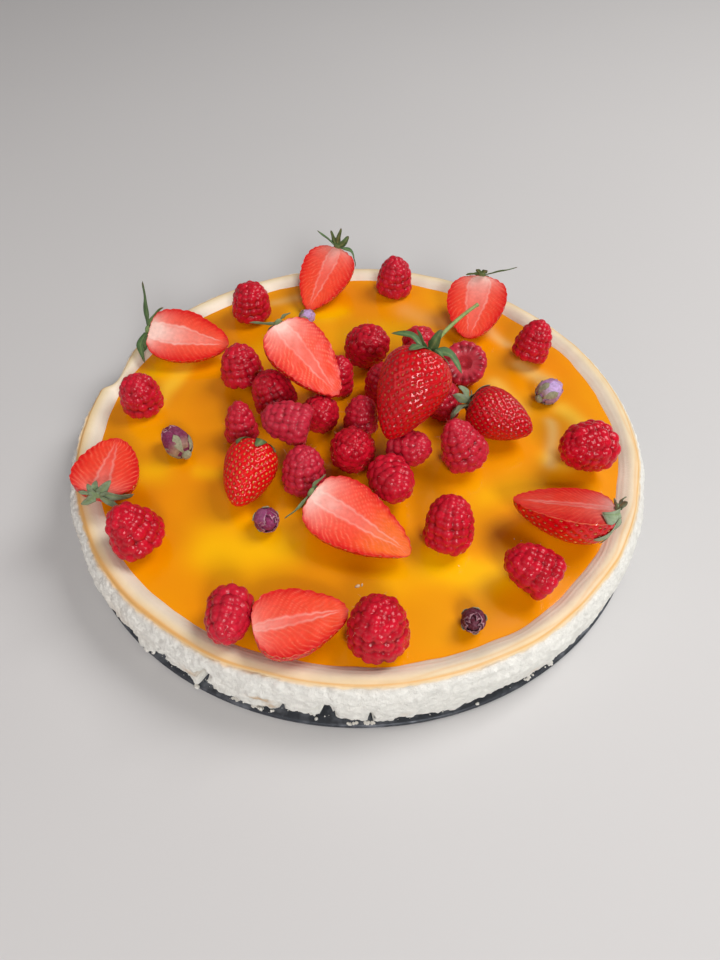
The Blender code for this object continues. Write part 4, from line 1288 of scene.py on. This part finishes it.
def add_seeds(form, spots, normals, runs, yellow, chance):
    """Seeds as small drops, long way along the berry: three rings of five points with two ends."""
    count = len(spots)
    polar, turn = latitudes(3), around(5)
    half_length, half_width, half_height = SEED_HALVES
    drop = np.stack([
        -np.cos(polar) * half_length + 0.0 * turn,
        np.sin(polar) * np.cos(turn) * half_width,
        np.sin(polar) * np.sin(turn) * half_height,
    ], axis=-1)
    sides = np.cross(normals, runs)
    axes = np.stack([runs, sides, normals], axis=1) * chance.uniform(0.85, 1.15, (count, 1, 1))
    rings = np.einsum("rci,nij->nrcj", drop, axes) + spots[:, None, None]
    ends = half_length * axes[:, 0]
    shade = np.clip(yellow + chance.normal(0.0, 0.18, count), 0.0, 1.0)
    form.add_round(rings, spots - ends, spots + ends, tones(rings, shade[:, None, None]))


def seeded_skin(sizes, polar, angle, spacing, skin, draw, chance):
    """The skin's points, sunk round each seed and made uneven by noise, its shares of painted shade in the
    pits, and the seeds.

    The seeds come as their polar angles, turns, places, outward normals and runs along the berry.
    """
    pit_depth, unevenness, seed_depth = skin
    seed_polar, seed_turn = seed_places(*sizes, spacing, chance)
    smooth = berry_points(polar, angle, *sizes)
    normal, _ = berry_normals(polar, angle, *sizes)
    spots = berry_points(seed_polar, seed_turn, *sizes)
    seed_normal, run = berry_normals(seed_polar, seed_turn, *sizes)
    sink, pit = pit_relief(smooth, spots, spacing, pit_depth)
    points = smooth + normal * (sink + unevenness * noise(smooth, 9.0, draw))[..., None]
    lifted = spots + seed_normal * (unevenness * noise(spots, 9.0, draw) - seed_depth)[:, None]
    return smooth, points, pit, (seed_polar, seed_turn, lifted, seed_normal, run)


def make_whole_strawberries(skin, seeds, places):
    """The uncut berries: a heart-shaped globe with a pit at each seed."""
    rows, columns = WHOLE_GRID
    polar, angle = latitudes(rows), around(columns)
    for number, (x, y, lift, length, width, heading, pitch, taper) in enumerate(WHOLE_STRAWBERRIES, 1):
        chance = np.random.default_rng(WHOLE_DRAW + number)
        dark, yellow = WHOLE_LOOKS[number - 1]
        sizes = (length, width, width / 2, taper)
        spacing = WHOLE_SEED_SPACING[0] + WHOLE_SEED_SPACING[1] * width
        smooth, rings, pit, found = seeded_skin(sizes, polar, angle, spacing, WHOLE_SKIN, number, chance)
        turn = turn_matrix(heading, pitch)
        place = stand(rings, turn, x, y, lift)
        shoulder = 0.45 * smoothstep(0.75, 0.2, polar)
        # The pit share paints shade into the pits.
        tone = tones(rings, pit, shoulder, dark + 0.15 * noise(smooth, 7.0, 30 + number))
        form = Form()
        form.add_closed(rings @ turn.T + place, tone)
        form.make(f"whole_berry_{number}", [skin], "strawberry_red", f"strawberry_whole_{number}")
        seed_polar, _, lifted, normal, run = found
        keep = (seed_polar > SEED_BELT[0]) & (seed_polar < SEED_BELT[1])
        add_seeds(
            seeds, lifted[keep] @ turn.T + place, normal[keep] @ turn.T, run[keep] @ turn.T, yellow, chance
        )
        places[f"strawberry_whole_{number}"] = (sizes, False, turn, place)


def cut_tone(share, side, length, width, look, number):
    """The cut face's pale, edge, vein and orange shares.

    share runs from 0 at the calyx to 1 at the tip and side from -1 to 1 across. The core narrows to
    the tip by a root of the way left. It is pale inside, with a paler line on its bound, and the
    calyx end is white. Veins are the crests of a cosine that leans towards the tip outside the core.
    """
    core, pale_core, veins, white, orange, red = look
    across = np.abs(side)
    points = np.stack([share * length, side * width / 2, 0.0 * share + number * 31.0], axis=-1)
    wobble = noise(points, 5.0, 60)
    bound = core * np.clip(1.02 - share, 0.0, 1.0) ** CORE_POWER * (1.0 + 0.12 * wobble)
    apart = (across - bound) * width / 2
    fade = smoothstep(0.97, 0.80, share)
    pale = 0.42 * bell(apart, 0.5) * fade * (0.55 + 0.45 * pale_core) * (1.0 + 0.5 * wobble)
    filled = smoothstep(0.9, -2.0, apart) * fade
    pale = pale + filled * pale_core * np.clip(1.05 - share, 0.0, 1.0) ** 1.3 * (0.65 + 0.2 * wobble)
    pale = pale + white * np.exp(-share / WHITE_REACH) * (1.0 - across ** 3) * (1.0 + 0.3 * wobble)
    phase = (share * length - VEIN_LEAN * across * width / 2) / VEIN_SPACING + 0.6 * noise(points, 5.0, 61)
    crest = np.maximum(np.cos(2 * math.pi * phase), 0.0) ** 4
    reach = smoothstep(-0.4, 1.2, apart) * smoothstep(1.02, 0.90, across)
    vein = 0.5 * veins * crest * reach * (0.7 + 0.6 * noise(points, 3.0, 62))
    middle = 0.30 * smoothstep(0.9, 0.1, across) * pale_core
    edge = smoothstep(0.86, 0.99, across) + smoothstep(0.90, 1.0, share)
    edge = edge + 0.55 * smoothstep(0.55, 0.95, across) + red
    edge = np.clip(edge, 0, 1) * (1 - 0.8 * np.clip(vein, 0, 1))
    warm = orange * smoothstep(0.45, 0.8, share) * smoothstep(1.0, 0.6, across)
    return np.clip(tones(points, pale, edge, vein + middle, warm), 0.0, 1.0)


def make_half_strawberries(skin, flesh, seeds, places):
    """The halves, cut face up: each ring runs round the skin below and back across the flat face."""
    rows, skin_columns, cut_columns = HALF_GRID
    polar = latitudes(rows)
    angle = np.linspace(math.pi, 2 * math.pi, skin_columns)
    side = np.linspace(1.0, -1.0, cut_columns + 2)[1:-1]
    slots = np.zeros(skin_columns + cut_columns, int)
    slots[skin_columns - 1:] = 1
    for number, half in enumerate(STRAWBERRY_HALVES, 1):
        x, y, lift, length, width, depth, heading, pitch, roll, taper = half
        chance = np.random.default_rng(HALF_DRAW + number)
        sizes = (length, width, depth, taper)
        smooth, below, pit, found = seeded_skin(
            sizes, polar, angle, HALF_SEED_SPACING, HALF_SKIN, 70 + number, chance
        )
        below[:, [0, -1], 2] = 0.0
        left, right = below[:, :1], below[:, -1:]
        cut = right * (1 + side[:, None]) / 2 + left * (1 - side[:, None]) / 2
        along, _ = berry_rows(polar, taper)
        look = CUT_LOOKS[number - 1]
        face = cut_tone(along + 0.5 + 0.0 * side, side + 0.0 * along, length, width, look, number)
        cut[..., 2] += 0.12 * noise(cut, 3.0, 80) + 0.10 * face[..., 2] - 0.15 * face[..., 0]
        shoulder = 0.25 * smoothstep(0.6, 0.2, polar)
        # The pit share paints shade into the pits.
        outer = tones(below, pit, shoulder, 0.3 + 0.15 * noise(smooth, 7.0, 90 + number))
        outer[:, [0, -1]] = (0.0, 0.9, 0.0, 0.0)
        rings = np.concatenate([below, cut], axis=1)
        turn = turn_matrix(heading, pitch, roll)
        place = stand(rings, turn, x, y, lift)
        form = Form()
        form.add_closed(rings @ turn.T + place, np.concatenate([outer, face], axis=1), slots)
        node = f"strawberry_half_{number}"
        piece = form.make(f"cut_berry_{number}", [skin, flesh], "strawberry_red", node)
        piece.data.set_sharp_from_angle(angle=math.radians(SHARP_ANGLE))
        seed_polar, seed_turn, lifted, normal, run = found
        low = (np.sin(seed_turn) < -0.04) & (seed_polar > SEED_BELT[0]) & (seed_polar < SEED_BELT[1])
        add_seeds(
            seeds, lifted[low] @ turn.T + place, normal[low] @ turn.T, run[low] @ turn.T, HALF_SEED_YELLOW,
            chance,
        )
        places[node] = (sizes, True, turn, place)


def skin_bound(x, sizes):
    """The skin's radius share at x along a berry, by the same rule as its globe, 0 off its ends."""
    share = np.clip(x / sizes[0] + 0.5, 0.0, 1.0)
    down = share ** (1 / SHOULDER)
    return np.sqrt(np.maximum(1.0 - (2.0 * down - 1.0) ** 2, 0.0)) * (1.0 - sizes[3] * down ** 3)


def cleared(points, berry):
    """Leaf points pushed off the berry's skin, and up off the cake's top, each where it is too near."""
    sizes, is_half, turn, place = berry
    flat = points[..., 1:] / (sizes[1] / 2, sizes[2])
    reach = np.linalg.norm(flat, axis=-1)
    bound = skin_bound(points[..., 0], sizes)
    bound = np.where(bound > 0, bound + LEAF_CLEARANCE / (sizes[1] / 2), 0.0)
    if is_half:
        bound = np.where(points[..., 2] > 0.2, 0.0, bound)
    push = np.where(reach < bound, bound / np.maximum(reach, 0.05), 1.0)
    moved = points.copy()
    moved[..., 1:] = points[..., 1:] * push[..., None]
    world = moved @ turn.T + place
    radius = np.hypot(world[..., 0], world[..., 1])
    top = GLAZE_TOP + (RIM_HEIGHT - GLAZE_TOP) * smoothstep(*RIM_RISE, radius) + LEAF_LIFT
    over_cake = radius < RIM_RADIUS + BULGE
    world[..., 2] = np.where(over_cake, np.maximum(world[..., 2], top), world[..., 2])
    return world


def blade(share):
    """A leaf's half width along it: a quick swell and a long taper to a point."""
    return np.clip(share * 3.2 + 0.28, 0.0, 1.0) ** 0.8 * np.clip(1.0 - share, 0.0, 1.0) ** 0.5


def add_leaf(form, berry, leaf, grey, chance):
    """A leaf: its midrib leaves the hub outwards and bends to the berry's tip.

    Its blade twists about the midrib, folds along it and waves.
    """
    angle, reach, width, bend, twist = leaf
    rows, columns = LEAF_GRID
    share = np.linspace(0.0, 1.0, rows)
    lean = bend * (2.0 * share if bend > 0 else 0.5 + share)
    lean = np.radians(lean + 8.0 * np.sin(share * 5.0 + chance.uniform(0, 6)))
    step = reach / (rows - 1)
    back = -berry[0][0] / 2 - 0.55
    x = back + step * np.cumsum(np.sin(lean))
    out = 0.6 + step * np.cumsum(np.cos(lean))
    across = np.linspace(-1.0, 1.0, columns)
    turn = math.radians(angle)
    radial = np.array([0.0, math.cos(turn), math.sin(turn)])
    tangent = np.array([0.0, -math.sin(turn), math.cos(turn)])
    half = blade(share) * width / 2
    drift = 0.10 * reach * np.sin(share * 3.0 + chance.uniform(0, 6)) * share
    points = np.zeros((rows, columns, 3))
    turned_back = math.sin(math.radians(abs(twist)))
    points[..., 0] = x[:, None] - 0.30 * np.abs(across) * half[:, None]
    points[..., 0] += turned_back * np.sign(twist) * across * half[:, None]
    points[..., 0] -= turned_back * width / 2 * smoothstep(0.0, 0.5, share)[:, None]
    wave = 0.35 * np.sin(share * 9.0 + chance.uniform(0, 6))[:, None] * across * half[:, None] / (width / 2)
    points[..., 0] += wave
    aside = half[:, None] * across * math.cos(math.radians(twist)) + drift[:, None]
    points += out[:, None, None] * radial + aside[..., None] * tangent
    world = cleared(points, berry)
    normal = unit(np.cross(np.gradient(world, axis=0), np.gradient(world, axis=1)))
    thick = (LEAF_THICKNESS / 2 * (1.0 - 0.6 * across ** 2))[None, :, None]
    rings = np.concatenate([world + normal * thick, (world - normal * thick)[:, ::-1]], axis=1)
    wide = np.concatenate([across, across[::-1]])
    dry = 0.65 * smoothstep(0.82, 1.0, share)[:, None] + 0.25 * smoothstep(0.75, 1.0, np.abs(wide))
    form.add_closed(rings, tones(rings, bell(wide, 0.22) * 0.7, grey, dry))


def add_hub(form, berry, grey):
    """The small cushion where the leaves meet, a flattened globe."""
    sizes, _, turn, place = berry
    back = -sizes[0] / 2 - 0.5
    polar, angle = latitudes(7), around(16)
    radius = np.sin(polar) * HUB_RADIUS * 1.25
    rings = turned_points(radius + 0.0 * angle, back - 0.9 * np.cos(polar), angle)
    rings = rings[..., [2, 0, 1]] @ turn.T + place
    form.add_closed(rings, tones(rings, 0.5, grey))


def add_stem(form, berry):
    """The long stalk: a tapered tube that bows to one side, with a cut brown end."""
    sizes, _, turn, place = berry
    start = np.array([-sizes[0] / 2 - 0.8, 0.0, 0.0])
    way = Vector(turn.T @ np.array(STEM_DIRECTION)).normalized()
    side = way.to_track_quat("Z", "Y") @ Vector((1.0, 0.0, 0.0))
    rows, sides = STEM_GRID
    share = np.linspace(0.0, 1.0, rows)
    bow = STEM_BOW * share * (1 - share)
    path = start + share[:, None] * STEM_LENGTH * np.array(way) + bow[:, None] * np.array(side)
    path = path @ turn.T + place
    width = STEM_RADIUS * (1.0 - 0.25 * share) * (1.0 + 0.35 * np.exp(-share / 0.05))
    width = width * (1.0 + 0.25 * smoothstep(0.94, 1.0, share))
    tone = tones(path, 0, 0, 0.8 * smoothstep(0.95, 1.0, share), 0.85)
    add_tubes(form, path[None], width, sides, tone[None, :, None])


def make_calyxes(material, places):
    """A ring of leaves at each berry that shows one, and the big one's stalk."""
    for number, (name, leaves) in enumerate(CALYXES.items(), 1):
        chance = np.random.default_rng(CALYX_DRAW + number)
        berry = places[name]
        grey = CALYX_GREY.get(name, USUAL_GREY)
        form = Form()
        for leaf in leaves:
            add_leaf(form, berry, leaf, grey, chance)
        add_hub(form, berry, grey)
        if name == STEM_BERRY:
            add_stem(form, berry)
        form.make(f"leaves_{number:02d}", [material], "leaf_green", f"calyx_{number:02d}")


def bud_radius(level):
    """A rosebud's radius share from its base, at -1, to its tip, at 1: a circle's, less towards the tip."""
    return np.sqrt(np.maximum(1.0 - level ** 2, 0.0)) * (1.0 - 0.25 * level)


def add_petal(form, sizes, turn, place, shape, tone_values):
    """A petal or sepal: a thin patch laid round the bud, its upper edge rounded and curled out."""
    start, end, middle, half_angle, offset, curl = shape
    length, width = sizes
    rows, columns = PETAL_GRID
    share = np.linspace(0.0, 1.0, rows)[:, None]
    across = np.linspace(-1.0, 1.0, columns)[None]
    level = start + (end - start) * share - 0.16 * (end - start) * across ** 2 * share ** 2
    spread = half_angle * np.clip(0.45 + 1.3 * share, 0.0, 1.0) * np.sqrt(np.maximum(1.0 - share ** 6, 0.03))
    angle = middle + spread * across + 0.25 * share
    radius = bud_radius(np.clip(level, -0.97, 0.985)) * width / 2 + offset
    radius = radius + curl * smoothstep(0.7, 1.0, share) + 0.12 * np.sin(7 * angle + 5 * share)
    points = np.stack([
        level * length / 2 - 0.4 * curl * smoothstep(0.85, 1.0, share),
        radius * np.cos(angle), radius * np.sin(angle),
    ], axis=-1)
    normal = unit(np.cross(np.gradient(points, axis=0), np.gradient(points, axis=1)))
    back = (points - normal * PETAL_HALF)[:, ::-1]
    rings = np.concatenate([points + normal * PETAL_HALF, back], axis=1)
    rings = rings @ turn.T + place
    tint, base, sepal = tone_values
    wide = np.concatenate([across, across[:, ::-1]], axis=1)
    rim = np.maximum(smoothstep(0.80, 1.0, np.abs(wide) * (0.4 + 0.6 * share)), smoothstep(0.90, 1.0, share))
    pale = (1.0 - sepal) * 0.85 * rim
    form.add_closed(rings, tones(rings, pale, tint, base * smoothstep(0.45, 0.0, share), sepal))


def make_rosebuds(material):
    """Dried rosebuds: a folded core, petals wound round it, five sepals and the hip below."""
    level, angle = -np.cos(latitudes(28)), around(60)
    for number, (x, y, lift, length, width, heading, pitch) in enumerate(ROSEBUDS, 1):
        chance = np.random.default_rng(BUD_DRAW + number)
        tint = BUD_TINTS[number - 1]
        sizes = (length, width * 0.9)
        radius = bud_radius(level) * (1.0 + 0.05 * np.cos(5 * angle + 2.5 * level)) * width * 0.43
        core = turned_points(radius, level * length * 0.48, angle)[..., [2, 0, 1]]
        turn = turn_matrix(heading, pitch)
        place = stand(core * 1.06, turn, x, y, lift)
        form = Form()
        form.add_closed(core @ turn.T + place, tones(core, 0, tint))
        for petal in range(PETALS):
            layer = petal / (PETALS - 1)
            shape = (
                -0.86, chance.uniform(0.80, 0.99) - 0.10 * layer,
                petal * PETAL_TURN + chance.uniform(-0.2, 0.2),
                chance.uniform(0.75, 1.15), 0.05 + 0.42 * layer, chance.uniform(0.1, 0.55) * (0.4 + layer),
            )
            shade = np.clip(tint + chance.uniform(-0.14, 0.14), 0.0, 1.0)
            add_petal(form, sizes, turn, place, shape, (shade, 0.9 * layer, 0.0))
        for sepal in range(SEPALS):
            shape = (
                -0.95, chance.uniform(-0.25, 0.15), sepal * 2 * math.pi / SEPALS + chance.uniform(-0.2, 0.2),
                0.34, 0.55, chance.uniform(0.1, 0.7),
            )
            add_petal(form, sizes, turn, place, shape, (tint, 0.0, 1.0))
        hip = core * (0.30, 0.42, 0.42) - (length * 0.47, 0, 0)
        form.add_closed(hip @ turn.T + place, tones(hip, 0, 0, 0, 1))
        form.make(f"dried_rosebud_{number}", [material], "petal_purple", f"rosebud_{number}")


def add_lumps(form, spots, sizes, flat, chance, tone_values):
    """Small uneven lumps: a globe of four rings of seven points, each point at its own distance."""
    count = len(spots)
    rows, columns = 4, 7
    polar, angle = latitudes(rows), around(columns)
    globe = turned_points(np.sin(polar) + 0.0 * angle, np.cos(polar), angle)
    rings = globe[None] * chance.uniform(0.72, 1.25, (count, rows, columns, 1)) * flat[:, None, None]
    turn = chance.uniform(0.0, 2 * math.pi, count)[:, None, None]
    rings = np.stack([
        rings[..., 0] * np.cos(turn) - rings[..., 1] * np.sin(turn),
        rings[..., 0] * np.sin(turn) + rings[..., 1] * np.cos(turn), rings[..., 2],
    ], axis=-1) * sizes[:, None, None, None] + spots[:, None, None]
    up = np.array([0.0, 0.0, 1.0]) * (sizes * flat[:, 2])[:, None]
    form.add_round(rings, spots + up, spots - up, tones(rings, *tone_values))


def make_crumbs(material):
    """Crumbs on the tin's edge and the foot, the larger chunks, and thin smears on the tin."""
    chance = np.random.default_rng(CRUMB_DRAW)
    form = Form()
    count = CRUMBS_ROUND + CRUMBS_FRONT
    turn = chance.uniform(0.0, 2 * math.pi, CRUMBS_ROUND)
    turn = np.concatenate([turn, chance.normal(math.radians(CRUMBS_PLACE), 0.34, CRUMBS_FRONT)])
    radius = CRUMB_RING[0] + CRUMB_RING[1] * chance.uniform(0.0, 1.0, count) ** 2.2
    size = CRUMB_SIZES[0] + CRUMB_SIZES[1] * chance.uniform(0.0, 1.0, count) ** 4
    spots = turned_points(radius, TIN_THICKNESS + 0.5 * size, turn)
    add_lumps(form, spots, size, np.full((count, 3), 1.0), chance, (1, 0, 0, 0))
    turn, radius, size = np.array(CHUNKS).T
    turn, size = np.radians(turn), size / 2
    count = len(size)
    for _ in range(CHUNK_PARTS):
        shift = chance.normal(0.0, 0.35, (count, 3)) * size[:, None]
        spots = turned_points(radius, TIN_THICKNESS + 0.55 * size, turn) + shift * (1, 1, 0.5)
        spots[:, 2] = np.maximum(spots[:, 2], TIN_THICKNESS + 0.3 * size)
        part = size * chance.uniform(0.5, 0.9, count)
        add_lumps(form, spots, part, np.full((count, 3), 1.0), chance, (1, 0, 0.05, 0))
    turn, radius, half_length, half_width = np.array(SMEARS).T
    count = len(turn)
    flat = np.broadcast_to((1.0, 1.0, 0.16), (count, 3))
    for _ in range(SMEAR_PARTS):
        along = chance.uniform(-1.0, 1.0, count) * half_length
        out = radius + chance.uniform(-0.4, 0.4, count) * half_width
        spots = turned_points(out, TIN_THICKNESS, np.radians(turn) + along / radius)
        size = half_width * chance.uniform(0.5, 1.1, count)
        add_lumps(form, spots, size, flat, chance, (1, 0, 0.12, 0))
    form.make("cake_crumbs", [material], "cheesecake_cream")


def make_fleck(material):
    """The pale crumb lying on the glaze near the front, and a few smaller ones by the berries."""
    chance = np.random.default_rng(FLECK_DRAW)
    form = Form()
    flecks = np.array(FLECKS)
    spots = flecks[:, :3] + (0, 0, GLAZE_TOP)
    flat = np.broadcast_to((1.5, 0.8, 0.35), spots.shape)
    add_lumps(form, spots, flecks[:, 3], flat, chance, (0, 0, 0.25, 0.8))
    form.make("glaze_crumbs", [material], "cheesecake_cream")


def make_camera():
    """The camera at the photograph's place and angle."""
    camera = bpy.data.cameras.new("view")
    camera.lens = CAMERA_LENS
    camera.sensor_width = CAMERA_SENSOR
    camera.clip_start = 0.01
    made = bpy.data.objects.new("view", camera)
    turn = Matrix.Rotation(math.radians(CAMERA_YAW), 4, "Z")
    turn = turn @ Matrix.Rotation(math.radians(CAMERA_TILT), 4, "X")
    turn = turn @ Matrix.Rotation(math.radians(CAMERA_ROLL), 4, "Z")
    made.matrix_world = Matrix.Translation(Vector(CAMERA_PLACE) * MM) @ turn
    bpy.context.scene.collection.objects.link(made)
    bpy.context.scene.camera = made


def add_lamp(name, place, size, power, colour):
    """A soft square lamp that looks at the cake."""
    lamp = bpy.data.lights.new(name, "AREA")
    lamp.size = size
    lamp.energy = power
    lamp.color = colour
    made = bpy.data.objects.new(name, lamp)
    made.location = place
    made.rotation_euler = (-Vector(place)).to_track_quat("-Z", "Y").to_euler()
    bpy.context.scene.collection.objects.link(made)


def make_studio():
    """A plain pale floor, the lamps and dim surroundings."""
    mesh = bpy.data.meshes.new("floor")
    corners = [(FLOOR_HALF * x, FLOOR_HALF * y, 0) for x, y in ((-1, -1), (1, -1), (1, 1), (-1, 1))]
    mesh.from_pydata(corners, [], [(0, 1, 2, 3)])
    mesh.materials.append(floor_finish())
    floor = bpy.data.objects.new("floor", mesh)
    bpy.context.scene.collection.objects.link(floor)
    for lamp in LAMPS:
        add_lamp(*lamp)
    world = bpy.data.worlds.new("studio")
    world.use_nodes = True
    backdrop = world.node_tree.nodes["Background"]
    backdrop.inputs["Color"].default_value = BACKDROP_COLOUR
    backdrop.inputs["Strength"].default_value = BACKDROP_STRENGTH
    bpy.context.scene.world = world
    bpy.context.scene.view_settings.view_transform = "Standard"


def main():
    """The camera, the studio and every piece in turn."""
    make_camera()
    make_studio()
    cake = cheesecake_finish()
    make_tin(tin_finish())
    make_body(cake)
    make_glaze(glaze_finish())
    make_crumbs(cake)
    make_fleck(cake)
    make_raspberries(raspberry_finish(), hair_finish())
    skin = strawberry_skin_finish()
    seeds, places = Form(), {}
    make_whole_strawberries(skin, seeds, places)
    make_half_strawberries(skin, strawberry_flesh_finish(), seeds, places)
    seeds.make("strawberry_seeds", [seed_finish()], "strawberry_red")
    make_calyxes(leaf_finish(), places)
    make_rosebuds(petal_finish())


main()
